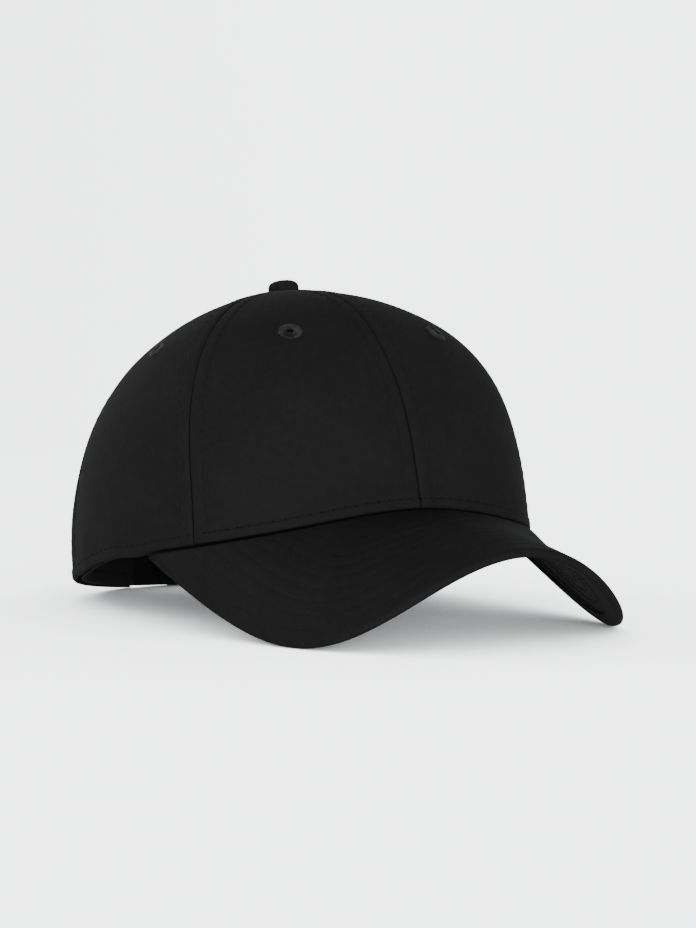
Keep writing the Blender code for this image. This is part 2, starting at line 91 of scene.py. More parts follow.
# The visor's sheet, as in the CAD.
VISOR_END = math.radians(76.4)
VISOR_REACH = 63.2 * MM
VISOR_FRONT_DROP = 16.8 * MM
VISOR_FRONT_SPREAD = 44.2 * MM
VISOR_CORNER = (73.2 * MM, -114.2 * MM, -64.6 * MM)
VISOR_END_REACH = 73.9 * MM
VISOR_END_DROP = 0.655
VISOR_END_TURN = math.radians(-6.1)
VISOR_CAMBER = 1.0 * MM
VISOR_SEAM_SET = -1.1 * MM
VISOR_EDGE_SET = 0.5 * MM
VISOR_HALF_THICK = 1.4 * MM
VISOR_TUCK = 1.5 * MM
VISOR_HEM = 6.4 * MM
VISOR_ROW_PITCH = 5.7 * MM
VISOR_ROW_COUNT = 8

# The closure's cone, as in the CAD.
STRAP_RADIUS = 91.5 * MM
STRAP_AXIS_Y = BACK - 1.1 * MM - STRAP_RADIUS
STRAP_LEAN = math.radians(9)
STRAP_BOTTOM = 0.8 * MM
STRAP_WIDTH = 20.0 * MM
HOOK_STRAP_X = (-43.0 * MM, 23.0 * MM)
HOOK_TAPE_X = (-9.0 * MM, 21.5 * MM)
LOOP_STRAP_X = (-16.0 * MM, 44.0 * MM)
LOOP_TAPE_X = (-14.5 * MM, 24.0 * MM)
HOOK_FOLD_X = -26.5 * MM

# Sewing.
SEAM_STITCH = 5.6 * MM
HEM_STITCH = 4.4 * MM
STITCH_PITCH = 4.6 * MM
STITCH_LENGTH = 3.9 * MM
VISOR_STITCH_PITCH = 3.4 * MM
VISOR_STITCH_LENGTH = 2.7 * MM
THREAD_RADIUS = 0.21 * MM
HEM_GAP = 0.8 * MM

# Camera: the view from the wearer's front right, from just above the table.
AIM = (6.1 * MM, -0.22 * MM, 60.16 * MM)
CAMERA_AZIMUTH = math.radians(-32.459)
CAMERA_ELEVATION = math.radians(2.432)
CAMERA_ROLL = math.radians(-0.546)
CAMERA_DISTANCE = 0.8397
LENS = 80.17
SENSOR = 36.0


# ---------------------------------------------------------------- frame


def joint(name):
    return next(j for j in frame["joints"] if j["name"] == name)


def row_frame():
    """The matrix from the crown's own frame to the row frame, read from the closure's axis."""
    axis = joint("strap_adjust")
    up = Vector(axis["axis"])
    turn = Matrix.Rotation(math.atan2(-up.y, up.z), 4, "X")
    origin = Vector(axis["pos_m"]) - turn @ Vector((0, STRAP_AXIS_Y, 0))
    return Matrix.Translation(origin) @ turn


TO_ROW = row_frame()


def in_row(points):
    """Points of the crown's own frame, carried into the row frame."""
    matrix = np.array(TO_ROW)
    return points @ matrix[:3, :3].T + matrix[:3, 3]


# ---------------------------------------------------------------- crown surface


def lerp(a, b, share):
    return a + (b - a) * share


def smooth(low, high, value):
    share = np.clip((value - low) / (high - low), 0, 1)
    return share * share * (3 - 2 * share)


def bump(value, middle, width):
    return np.exp(-(((value - middle) / width) ** 2))


def unit(vectors):
    return vectors / np.maximum(np.linalg.norm(vectors, axis=-1, keepdims=True), 1e-12)


def by_direction(values, phi):
    front, side, back = values
    facing = np.cos(phi) ** 2
    return np.where(np.cos(phi) > 0, front, back) * facing + side * (1 - facing)


def hem_height(phi):
    signed = (phi + np.pi) % (2 * np.pi) - np.pi
    turn = np.abs(signed)
    height = HEM_FRONT_RISE * np.clip(np.cos(0.9 * turn), 0, 1) ** 7 + HEM_SIDE_RISE * np.sin(turn) ** 2
    for middle, width, rise in HEM_BOWS:
        height = height + rise * MM * bump(signed, math.radians(middle), math.radians(width))
    return height


def dome(phi, t):
    """A point of the crown's plain outer face: phi turns from the front to the wearer's left, t climbs."""
    phi, t = np.broadcast_arrays(np.asarray(phi, float), np.asarray(t, float))
    sine = np.sin(phi)
    cosine = np.cos(phi)
    length = (np.abs(sine) ** PLAN_POWER + np.abs(cosine) ** PLAN_POWER) ** (-1 / PLAN_POWER)
    depth = np.where(cosine > 0, FRONT, BACK)
    climb = np.clip(t, 0, 1) * np.pi / 2
    shrink = np.clip(np.cos(climb), 0, 1) ** (2 / by_direction(TOP_POWERS, phi))
    height = np.sin(climb) ** (2 / by_direction(WALL_POWERS, phi))
    x = HALF_WIDTH * sine * length * shrink
    y = lerp(BACKSET, -depth * cosine * length, shrink)
    return np.stack([x, y, lerp(hem_height(phi), HEIGHT, height)], -1)


def dome_normal(phi, t):
    step = 1e-3
    across = dome(phi + step, t) - dome(phi - step, t)
    upward = dome(phi, np.minimum(t + step, 1)) - dome(phi, np.maximum(t - step, 0))
    return unit(np.cross(across, upward))


# Soft dents and swells in the cloth: turn (degrees) and height of the middle, width and rise (mm).
SWELLS = (
    (-126, -4, 40, 2.0),
    (-123, 66, 24, -0.3),
    (56, 74, 30, 1.9),
    (-52, 20, 14, -1.3),
    (-68, 22, 10, -0.5),
    (-92, 20, 11, 0.6),
    (-80, 30, 16, -0.9),
    (-108, 12, 8, 0.7),
    (-40, 60, 26, -0.4),
    (22, 60, 20, -0.6),
    (84, 24, 15, 0.7),
    (104, 24, 15, -0.8),
    (140, 60, 22, -0.8),
    (-15, 80, 22, -0.4),
)

# Where the soft hem bows up off the table: turn of the middle, width and height.
HEM_BOWS = (
    (-98, 12, 2.4),
    (118, 16, 1.2),
)


def swell(points):
    """How far the real cloth stands off the plain dome."""
    rise = np.zeros(points.shape[:-1])
    for turn, climb, width, depth in SWELLS:
        phi = math.radians(turn)
        middle = dome(phi, climb_at_height(phi, climb * MM))
        away = np.linalg.norm(points - middle, axis=-1)
        rise += depth * MM * np.exp(-((away / (width * MM)) ** 2))
    waves = np.random.default_rng(7)
    for _ in range(9):
        direction = waves.normal(size=3)
        direction *= 2 * np.pi / waves.uniform(26, 60) / MM / np.linalg.norm(direction)
        rise += 0.045 * MM * np.sin(points @ direction + waves.uniform(0, 2 * np.pi))
    return rise


def halve(shape, low, high, falls_short):
    """Close in on the place between low and high where falls_short turns false."""
    low, high = np.full(shape, low), np.full(shape, high)
    for _ in range(34):
        middle = (low + high) / 2
        short = falls_short(middle)
        low = np.where(short, middle, low)
        high = np.where(short, high, middle)
    return high


def climb_at_height(phi, height):
    return halve(np.shape(phi), 0.0, 1.0, lambda t: dome(phi, t)[..., 2] < height)


def crown(phi, t, out=0.0):
    """A point of the cloth, the distance out from the outer face."""
    points = dome(phi, t)
    offset = np.broadcast_to(np.asarray(out, float), points.shape[:-1]) + swell(points)
    return points + dome_normal(phi, t) * offset[..., None]


TURNS = np.radians(np.arange(-183, 184, 3.0))
CLIMBS = np.linspace(0, 1, 500) ** 2


def measure_meridians():
    """The length of each meridian, and its t at even shares of that length."""
    points = dome(TURNS[:, None], CLIMBS[None, :])
    steps = np.linalg.norm(np.diff(points, axis=1), axis=-1)
    along = np.concatenate([np.zeros((len(TURNS), 1)), np.cumsum(steps, axis=1)], axis=1)
    shares = np.linspace(0, 1, 400)
    table = np.array([np.interp(shares * row[-1], row, CLIMBS) for row in along])
    return along[:, -1], table


MERIDIAN_LENGTHS, MERIDIAN_CLIMBS = measure_meridians()


def meridian_length(phi):
    return np.interp(phi, TURNS, MERIDIAN_LENGTHS)


def climb_at(phi, rise):
    """The t at a length up the meridian from the hem."""
    phi, rise = np.broadcast_arrays(np.asarray(phi, float), np.asarray(rise, float))
    column = np.clip((phi - TURNS[0]) / (TURNS[1] - TURNS[0]), 0, len(TURNS) - 1.001)
    row = np.clip(rise / meridian_length(phi), 0, 1) * (MERIDIAN_CLIMBS.shape[1] - 1.001)
    i, j = column.astype(int), row.astype(int)
    a, b = column - i, row - j
    table = MERIDIAN_CLIMBS
    low = table[i, j] * (1 - b) + table[i, j + 1] * b
    high = table[i + 1, j] * (1 - b) + table[i + 1, j + 1] * b
    return low * (1 - a) + high * a


def turn_speed(phi, t):
    """How far a point moves for each radian of phi."""
    step = 1e-3
    return np.linalg.norm(dome(phi + step, t) - dome(phi - step, t), axis=-1) / (2 * step)


def arch_half_width(height):
    share = np.clip(height / ARCH_HEIGHT, 0, 1)
    return ARCH_HALF_WIDTH * (1 - share**ARCH_POWER) ** (1 / ARCH_POWER)


def arch_turn(rise):
    """The phi of the arch's edge at each length up, on the wearer's left."""

    def is_cloth(phi):
        points = dome(phi, climb_at(phi, rise))
        return points[..., 0] > arch_half_width(points[..., 2])

    return halve(np.shape(rise), math.radians(130), math.pi, is_cloth)


def back_spot(x, height):
    """(phi, t) of a place on the back, named by its place across and its height."""

    def is_left(phi):
        return dome(phi, climb_at_height(phi, height))[..., 0] > x

    phi = halve(np.shape(x), math.radians(110), math.radians(250), is_left)
    return phi, climb_at_height(phi, height)


# ---------------------------------------------------------------- mesh building


def pairs(a, b):
    return np.stack(np.broadcast_arrays(a, b), -1)


def make_piece(name, points, faces, look, body="crown", uv=None, sewing=None, nodes=(), sharp=50):
    """One mesh in the row frame from points of the crown's frame, riding on its body.

    uv holds the cloth's own coordinates in millimetres, and sewing holds those of its stitch rows: how far
    each point lies from the seam that the row follows, and how far along that seam.
    """
    mesh = bpy.data.meshes.new(name)
    mesh.from_pydata(in_row(np.asarray(points)).tolist(), [], [list(face) for face in faces])
    mesh.validate()
    corners = np.zeros(len(mesh.loops), np.int32)
    mesh.loops.foreach_get("vertex_index", corners)
    for layer_name, places in (("weave", uv), ("sewing", sewing)):
        if places is not None:
            layer = mesh.uv_layers.new(name=layer_name)
            layer.data.foreach_set("uv", np.asarray(places)[corners].astype(np.float32).ravel())
    mesh.shade_smooth()
    mesh.set_sharp_from_angle(angle=math.radians(sharp))
    slot, material = LOOKS[look]
    mesh.materials.append(material)
    piece = bpy.data.objects.new(name, mesh)
    bpy.context.scene.collection.objects.link(piece)
    if body:
        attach(piece, body)
    if nodes:
        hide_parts(*nodes)
    return piece


def grid_faces(rows, columns, start=0, turned=False):
    faces = []
    for i in range(rows - 1):
        for j in range(columns - 1):
            a = start + i * columns + j
            quad = (a, a + columns, a + columns + 1, a + 1)
            faces.append(quad[::-1] if turned else quad)
    return faces


def ring_faces(rings, count, start=0, closed=False):
    """Faces between rings of count points each; closed joins the last ring to the first."""
    faces = []
    for r in range(rings if closed else rings - 1):
        for k in range(count):
            a, b = r * count + k, r * count + (k + 1) % count
            up = (r + 1) % rings * count - r * count
            faces.append(tuple(start + v for v in (a, b, b + up, a + up)))
    return faces


def border_faces(rows, columns, gap):
    """The wall between the borders of two equal grids whose numbers differ by gap."""
    ring = [j for j in range(columns)]
    ring += [i * columns + columns - 1 for i in range(1, rows)]
    ring += [(rows - 1) * columns + j for j in range(columns - 2, -1, -1)]
    ring += [i * columns for i in range(rows - 2, 0, -1)]
    return [(b, a, a + gap, b + gap) for a, b in zip(ring, ring[1:] + ring[:1])]


def volume_sign(points, faces):
    """Positive if a closed mesh's faces look outward."""
    total = 0.0
    for count in (3, 4):
        some = np.array([face for face in faces if len(face) == count])
        for k in range(1, count - 1):
            if len(some):
                a, b, c = points[some[:, 0]], points[some[:, k]], points[some[:, k + 1]]
                total += (a * np.cross(b, c)).sum()
    return total


def sheet_piece(name, outer, inner, look, uv, sewing=None, **options):
    """A closed sheet of cloth between two grids of points."""
    rows, columns = outer.shape[:2]
    points = np.concatenate([outer.reshape(-1, 3), inner.reshape(-1, 3)])
    gap = rows * columns
    faces = grid_faces(rows, columns) + grid_faces(rows, columns, gap, turned=True)
    faces += border_faces(rows, columns, gap)
    if volume_sign(points - points.mean(0), faces) < 0:
        faces = [face[::-1] for face in faces]
    uvs = np.concatenate([uv.reshape(-1, 2), uv.reshape(-1, 2)]) / MM
    if sewing is not None:
        sewing = np.concatenate([sewing.reshape(-1, 2), sewing.reshape(-1, 2)]) / MM
    return make_piece(name, points, faces, look, uv=uvs, sewing=sewing, **options)


def spread(steps, count, total):
    """Places from 0 to total: as steps says at both ends, even between, squeezed where there's no room."""
    steps = np.asarray(steps) * MM
    scale = np.minimum(1.0, np.asarray(total) / (2.6 * steps[-1]))[..., None]
    near = steps * scale
    far = np.asarray(total)[..., None] - near[..., ::-1]
    middle = lerp(near[..., -1:], far[..., :1], np.arange(1, count) / count)
    return np.concatenate([near, middle, far], axis=-1)


def stitch_mesh(centers, along, up, length=STITCH_LENGTH, radius=THREAD_RADIUS, sink=0.22 * MM):
    """Points and faces of short threads that dip into the cloth at both ends."""
    sides = 6
    rings = ((-0.5, -1.0, 0.55), (-0.4, 0.1, 0.9), (0.0, 0.55, 1.0), (0.4, 0.1, 0.9), (0.5, -1.0, 0.55))
    across = unit(np.cross(up, along))
    points = []
    for place, height, girth in rings:
        lift = height * (sink if height < 0 else radius)
        center = centers + along * place * length + up * lift
        for k in range(sides):
            turn = 2 * np.pi * k / sides
            points.append(center + (across * np.cos(turn) + up * np.sin(turn)) * girth * radius)
    points = np.stack(points, axis=1)
    count = points.shape[1]
    faces = []
    for n in range(len(centers)):
        base = n * count
        faces += ring_faces(len(rings), sides, base)
        faces.append(tuple(base + k for k in range(sides))[::-1])
        faces.append(tuple(base + (len(rings) - 1) * sides + k for k in range(sides)))
    return points.reshape(-1, 3), faces


def stitch_run(path, up, along=None, pitch=STITCH_PITCH):
    """Middles, directions and ups of the stitches of one row, halfway between the needle holes.

    along says how far along the seam each point of the path lies, and the holes are at its whole pitches.
    """
    steps = np.linalg.norm(np.diff(path, axis=0), axis=1)
    if along is None:
        along = np.concatenate([[0], np.cumsum(steps)])
    first = math.ceil(along.min() / pitch)
    last = math.floor(along.max() / pitch)
    places = (np.arange(first, last) + 0.5) * pitch
    order = np.argsort(along)
    along, path, up = along[order], path[order], up[order]
    center = np.stack([np.interp(places, along, path[:, k]) for k in range(3)], -1)
    ahead = np.stack([np.interp(places + pitch / 4, along, path[:, k]) for k in range(3)], -1)
    behind = np.stack([np.interp(places - pitch / 4, along, path[:, k]) for k in range(3)], -1)
    normal = np.stack([np.interp(places, along, up[:, k]) for k in range(3)], -1)
    return center, unit(ahead - behind), unit(normal)


def add_stitching(name, runs, look, body="crown", pitch=STITCH_PITCH, **options):
    """All the rows of one seam or sub-part, as one piece of thread."""
    points = []
    faces = []
    start = 0
    for run in runs:
        some, quads = stitch_mesh(*stitch_run(*run, pitch=pitch), **options)
        points.append(some)
        faces += [tuple(start + v for v in quad) for quad in quads]
        start += len(some)
    return make_piece(name, np.concatenate(points), faces, look, body=body, sharp=180)


# ---------------------------------------------------------------- materials


class Shader:
    """A short way to write a material's nodes."""

    def __init__(self, name):
        self.material = bpy.data.materials.new(name)
        self.material.use_nodes = True
        self.tree = self.material.node_tree
        self.bsdf = self.tree.nodes["Principled BSDF"]

    def node(self, kind, inputs=None, **settings):
        made = self.tree.nodes.new(kind)
        for key, value in settings.items():
            setattr(made, key, value)
        for key, value in (inputs or {}).items():
            self.put(made.inputs[key], value)
        return made

    def put(self, socket, value):
        if isinstance(value, bpy.types.NodeSocket):
            self.tree.links.new(value, socket)
        else:
            socket.default_value = value

    def math(self, operation, *values):
        made = self.node("ShaderNodeMath", operation=operation)
        for socket, value in zip(made.inputs, values):
            self.put(socket, value)
        return made.outputs[0]

    def plus(self, a, b):
        return self.math("ADD", a, b)

    def times(self, a, b):
        return self.math("MULTIPLY", a, b)

    def ramp(self, value, low, high, out_low=0.0, out_high=1.0):
        inputs = {0: value, 1: low, 2: high, 3: out_low, 4: out_high}
        return self.node("ShaderNodeMapRange", inputs).outputs[0]

    def weave_xy(self, layer="weave"):
        """The cloth's own coordinates, in millimetres."""
        spot = self.node("ShaderNodeUVMap", uv_map=layer).outputs[0]
        split = self.node("ShaderNodeSeparateXYZ", {0: spot})
        return split.outputs[0], split.outputs[1], spot

    def needle_holes(self, across, along, pitch, radius=0.5):
        """Pits where a row's needle went in: 1 at a hole and 0 elsewhere."""
        step = self.math("PINGPONG", along, pitch / 2)
        square = self.plus(self.times(step, step), self.times(across, across))
        return self.ramp(self.math("SQRT", square), radius, radius * 0.35)

    def spot(self):
        return self.node("ShaderNodeTexCoord").outputs["Object"]

    def noise(self, place, scale, detail=2.0, roughness=0.5):
        inputs = {"Vector": place, "Scale": scale, "Detail": detail, "Roughness": roughness}
        return self.node("ShaderNodeTexNoise", inputs).outputs["Fac"]

    def wave(self, value, period):
        """A smooth wave from 0 to 1."""
        turned = self.times(value, 2 * math.pi / period)
        return self.math("MULTIPLY_ADD", self.math("SINE", turned), 0.5, 0.5)

    def mix(self, share, low, high):
        made = self.node("ShaderNodeMix", data_type="RGBA")
        self.put(made.inputs["Factor"], share)
        self.put(made.inputs["A"], (*low, 1.0) if isinstance(low, tuple) else low)
        self.put(made.inputs["B"], (*high, 1.0) if isinstance(high, tuple) else high)
        return made.outputs["Result"]

    def bump(self, height, distance, strength=1.0, normal=None):
        inputs = {"Height": height, "Distance": distance, "Strength": strength}
        if normal is not None:
            inputs["Normal"] = normal
        return self.node("ShaderNodeBump", inputs).outputs[0]

    def finish(self, color=None, roughness=None, normal=None, **plain):
        if color is not None:
            self.put(self.bsdf.inputs["Base Color"], (*color, 1.0) if isinstance(color, tuple) else color)
        if roughness is not None:
            self.put(self.bsdf.inputs["Roughness"], roughness)
        if normal is not None:
            self.put(self.bsdf.inputs["Normal"], normal)
        for key, value in plain.items():
            self.put(self.bsdf.inputs[key.replace("_", " ")], value)
        return self.material


def scaled(color, share):
    return tuple(part * share for part in color)


def crown_pit_and_hem_shade(s):
    """A mask, 1 where shade is painted: in the needle holes of the rows beside the crown's seams and above
    its hem, and along the hem's lower edge.
    """
    weft = s.weave_xy()[0]
    from_seam, up, _ = s.weave_xy("sewing")
    beside = s.math("SUBTRACT", from_seam, SEAM_STITCH / MM)
    above = s.math("SUBTRACT", up, HEM_STITCH / MM)
    clear = s.math("GREATER_THAN", up, HEM_STITCH / MM + 2)
    faint = s.times(clear, 0.25)
    seams = s.times(s.needle_holes(beside, up, STITCH_PITCH / MM), faint)
    rows = s.math("MAXIMUM", seams, s.needle_holes(above, weft, STITCH_PITCH / MM))
    # The last ramp is painted shade along the hem's lower 0.5 mm.
    return s.math("MAXIMUM", rows, s.ramp(up, 0.0, 0.5, 1.0, 0.0))


def visor_crease_shade(s):
    """Painted shade in the crease where the cover dives in under the crown's hem: darkest at the seam, gone
    0.4 mm out.
    """
    return s.ramp(s.weave_xy("sewing")[0], 0.0, 0.4, 1.0, 0.0)


def twill(name, color, rib=0.62, depth=0.07, ribbed=0.4, lint=0.5, holes=None, pit_shade_share=0.4):
    """Cotton twill: slanted ribs of short floats, a little uneven, with faint lint and wear."""
    s = Shader(name)
    x, y, place = s.weave_xy()
    wobble = s.math("MULTIPLY_ADD", s.noise(place, 0.35, 3.0), 0.5, -0.25)
    slant = s.plus(s.math("MULTIPLY_ADD", x, 0.82, s.times(y, 0.57)), wobble)
    ribs = s.wave(slant, rib)
    floats = s.wave(s.math("MULTIPLY_ADD", x, -0.57, s.times(y, 0.82)), rib * 1.35)
    yarn = s.times(ribs, s.math("MULTIPLY_ADD", floats, 0.35, 0.65))
    fuzz = s.noise(place, 1.4, 4.0, 0.65)
    slub = s.noise(place, 0.28, 3.0, 0.55)
    cloudy = s.noise(place, 0.035, 2.0)
    tone = s.plus(s.times(yarn, ribbed), s.times(fuzz, lint))
    tone = s.plus(tone, s.times(slub, 0.35))
    tone = s.plus(tone, s.times(cloudy, 0.35))
    shade = s.ramp(tone, 0.35, 1.25)
    shade_color = s.mix(shade, scaled(color, 0.5), scaled(color, 1.55))
    height = s.plus(s.times(yarn, 0.7), s.times(fuzz, 0.5))
    # Where holes marks a pit or crease, the colour is painted darker as painted shade, and the bump presses
    # it in.
    if holes:
        shaded_pits = holes(s)
        shade_color = s.mix(shaded_pits, shade_color, scaled(color, pit_shade_share))
        height = s.math("SUBTRACT", height, s.times(shaded_pits, 4.0))
    normal = s.bump(height, depth * MM)
    soft = s.bump(slub, 0.16 * MM, 0.6, normal)
    rough = s.ramp(fuzz, 0.3, 0.7, 0.66, 0.86)
    return s.finish(
        shade_color,
        rough,
        soft,
        Specular_IOR_Level=0.03,
    )


def thread(name, color, gloss=0.45):
    """Twisted polyester thread."""
    s = Shader(name)
    place = s.spot()
    twist = s.noise(place, 2600.0, 1.0)
    tone = s.noise(place, 420.0, 2.0)
    return s.finish(
        s.mix(s.ramp(tone, 0.3, 0.7), scaled(color, 0.7), scaled(color, 1.35)),
        s.ramp(twist, 0.3, 0.7, gloss - 0.08, gloss + 0.12),
        s.bump(twist, 0.05 * MM),
        Specular_IOR_Level=0.04,
    )


def satin(name, color):
    """Satin-stitched thread with random lighter and darker patches, and painted shade down in the hole."""
    s = Shader(name)
    place = s.spot()
    patch = s.noise(place, 240.0, 2.0)
    twist = s.noise(place, 2600.0, 1.0)
    patchy = s.mix(s.ramp(patch, 0.38, 0.64), scaled(color, 0.45), scaled(color, 1.5))
    # Within 1.2 mm of the axis, down the hole's barrel, the colour is painted at a tenth: painted shade in
    # the hole.
    return s.finish(
        s.mix(s.ramp(s.weave_xy()[0], 1.2, 1.7), scaled(color, 0.1), patchy),
        s.ramp(twist, 0.3, 0.7, 0.4, 0.6),
        s.bump(twist, 0.06 * MM),
        Specular_IOR_Level=0.1,
    )


def plain_weave(name, color, yarn=0.5, depth=0.08, roughness=0.85):
    """Tape and lining: an over-and-under weave."""
    s = Shader(name)
    x, y, place = s.weave_xy()
    over = s.times(s.wave(x, yarn), s.wave(s.plus(y, yarn / 4), yarn))
    under = s.times(s.wave(s.plus(x, yarn / 2), yarn), s.wave(s.plus(y, yarn * 0.75), yarn))
    weave = s.math("MAXIMUM", over, under)
    fuzz = s.noise(place, 1.2, 4.0, 0.6)
    tone = s.plus(s.times(weave, 0.6), s.times(fuzz, 0.5))
    return s.finish(
        s.mix(s.ramp(tone, 0.2, 0.95), scaled(color, 0.5), scaled(color, 1.4)),
        roughness,
        s.bump(tone, depth * MM),
        Specular_IOR_Level=0.08,
    )


def buckram_look(name, color):
    """Open stiff gauze: starched yarns with small dark gaps."""
    s = Shader(name)
    x, y, place = s.weave_xy()
    yarns = s.math("MAXIMUM", s.wave(x, 1.1), s.wave(y, 1.1))
    fuzz = s.noise(place, 1.0, 3.0)
    return s.finish(
        s.mix(s.ramp(yarns, 0.35, 0.8), scaled(color, 0.25), color),
        s.ramp(fuzz, 0.3, 0.7, 0.6, 0.85),
        s.bump(yarns, 0.18 * MM),
        Specular_IOR_Level=0.12,
    )


def fuzzy_look(name, color, scale, depth):
    """Napped loops or a bed of hooks."""
    s = Shader(name)
    place = s.spot()
    cells = s.node("ShaderNodeTexVoronoi", {"Vector": place, "Scale": scale}).outputs["Distance"]
    nap = s.noise(place, scale * 2.0, 4.0, 0.7)
    tone = s.plus(cells, s.times(nap, 0.6))
    return s.finish(
        s.mix(s.ramp(tone, 0.2, 1.0), scaled(color, 1.6), scaled(color, 0.5)),
        0.8,
        s.bump(tone, depth * MM),
        Specular_IOR_Level=0.1,
    )


def moulded_look(name, color):
    s = Shader(name)
    grain = s.noise(s.spot(), 900.0, 3.0)
    blotch = s.noise(s.spot(), 60.0, 2.0)
    return s.finish(
        s.mix(blotch, scaled(color, 0.9), scaled(color, 1.1)),
        s.ramp(grain, 0.3, 0.7, 0.45, 0.6),
        s.bump(grain, 0.05 * MM),
    )


def metal_look(name, color):
    s = Shader(name)
    brushed = s.noise(s.spot(), 700.0, 5.0, 0.7)
    spots = s.noise(s.spot(), 150.0, 3.0)
    return s.finish(
        s.mix(spots, scaled(color, 0.8), color),
        s.ramp(brushed, 0.3, 0.7, 0.28, 0.45),
        s.bump(brushed, 0.02 * MM),
        Metallic=1.0,
    )


def floor_look(name, color, glow, bounce):
    """Pale paper with a painted glow: camera rays see it glow brightly, other rays only faintly, so the cap
    gets only a little of that light.
    """
    s = Shader(name)
    paper = s.noise(s.spot(), 90.0, 5.0, 0.6)
    s.finish(
        s.mix(paper, scaled(color, 0.985), color),
        s.ramp(paper, 0.3, 0.7, 0.8, 0.95),
        s.bump(paper, 0.05 * MM, 0.3),
        Specular_IOR_Level=0.1,
    )
    seen = s.node("ShaderNodeLightPath").outputs["Is Camera Ray"]
    unseen = s.times(s.math("SUBTRACT", 1.0, seen), bounce)
    # The glow is darkened where ambient occlusion finds the cap near, a painted contact shadow, and is dimmer
    # towards the sweep's -X side.
    glow_occlusion = s.node("ShaderNodeAmbientOcclusion", {"Distance": 0.3}, samples=6).outputs["AO"]
    across = s.node("ShaderNodeSeparateXYZ", {0: s.spot()}).outputs[0]
    even = s.ramp(across, -0.6, 0.2, 0.84, 1.0)
    light = s.times(s.times(seen, even), s.times(glow_occlusion, glow))
    s.put(s.bsdf.inputs["Emission Color"], (0.965, 0.985, 1.0, 1.0))
    s.put(s.bsdf.inputs["Emission Strength"], s.plus(light, unseen))
    return s.material


BLACK = (0.0075, 0.0074, 0.0074)
VISOR_BLACK = scaled(BLACK, 0.92)
VISOR_GRAIN = {"depth": 0.04, "ribbed": 0.22, "lint": 0.7}
# Each look's slot in the record, and its material.
LOOKS = {
    "twill": ("panel_twill", twill("crown_twill", BLACK, holes=crown_pit_and_hem_shade)),
    # The button's twill is 1.15 times lighter than the crown's: painted light, standing in for the light that
    # the button's top catches.
    "button": ("panel_twill", twill("button_twill", scaled(BLACK, 1.15))),
    "visor": ("visor_twill", twill("visor_twill", VISOR_BLACK, **VISOR_GRAIN, holes=visor_crease_shade, pit_shade_share=0.08)),
    "lining": ("visor_lining", twill("visor_lining_twill", scaled(BLACK, 0.95), **VISOR_GRAIN)),
    # The sweatband's twill is 1.6 times lighter than the crown's: painted light, standing in for light that
    # reaches inside the crown.
    "band": ("sweatband_twill", twill("sweatband_twill", scaled(BLACK, 1.6), rib=0.8)),
    "strap": ("strap_twill", twill("strap_twill", BLACK)),
    "thread": ("eyelet_thread", thread("sewing_thread", scaled(BLACK, 1.0), 0.75)),
    # The satin thread is 1.5 times lighter than the sewing thread: painted light, standing in for the light
    # that the raised rings catch.
    "eyelet": ("eyelet_thread", satin("satin_thread", scaled(BLACK, 1.5))),
    "tape": ("seam_tape", plain_weave("seam_tape_weave", scaled(BLACK, 0.9))),
    "buckram": ("buckram", buckram_look("buckram_gauze", (0.02, 0.02, 0.0205))),
    "hooks": ("hook_fastener", fuzzy_look("hook_tape_nylon", (0.008, 0.008, 0.0085), 900.0, 0.25)),
    "loops": ("loop_fastener", fuzzy_look("loop_tape_nylon", (0.009, 0.009, 0.0095), 1400.0, 0.35)),
    "label": ("blank_label", plain_weave("label_weave", (0.30, 0.30, 0.29), 0.35, 0.04, 0.6)),
    "board": ("visor_board", moulded_look("visor_board_plastic", (0.20, 0.205, 0.21))),
    "metal": ("button_metal", metal_look("pressed_steel", (0.45, 0.45, 0.44))),
}


# ---------------------------------------------------------------- crown


# Rows and columns of the cloth's mesh lie closest beside an edge and a stitch row, in millimetres.
EDGE_STEPS = (0, 0.12, 0.3, 0.55, 0.9, 1.4, 2.0, 2.7, 3.4, 4.1, 4.7, 5.1, 5.4, 5.7, 6.0, 6.4, 7.0, 7.8)
HEM_STEPS = (0, 0.1, 0.25, 0.5, 0.9, 1.4, 2.0, 2.7, 3.3, 3.7, 4.0, 4.3, 4.6, 5.0, 5.5, 6.2, 7.2)
TOP_GAP = 3.4 * MM
SEAM_HALF_GAP = 0.12 * MM
PANEL_ROWS = 116
PANEL_COLUMNS = 34


def seam_relief(away, room):
    """The turned-in edge, the padded allowance behind it and the row sewn beside a seam."""
    squeeze = np.clip(room / (9 * MM), 0.25, 1)
    away = away / squeeze
    edge = -0.75 * np.exp(-away / (0.42 * MM))
    padding = 0.26 * smooth(0.2 * MM, 1.3 * MM, away) * (1 - smooth(4.3 * MM, 6.6 * MM, away))
    row = -0.08 * bump(away, SEAM_STITCH, 0.6 * MM)
    return (edge + (padding + row) * squeeze) * MM


def hem_relief(rise):
    edge = -0.5 * np.exp(-rise / (0.4 * MM))
    padding = 0.36 * smooth(0.2 * MM, 1.2 * MM, rise) * (1 - smooth(3.4 * MM, 5.4 * MM, rise))
    row = -0.12 * bump(rise, HEM_STITCH, 0.6 * MM)
    return (edge + padding + row) * MM


def visor_gap(phi):
    """How far the hem stands above the visor, all along the visor's seam."""
    turn = np.abs(phi)
    widening = lerp(0.85, 1.35, smooth(0.3, 1.2, turn))
    return HEM_GAP * widening * (1 - smooth(VISOR_END - 0.02, VISOR_END + 0.12, turn))


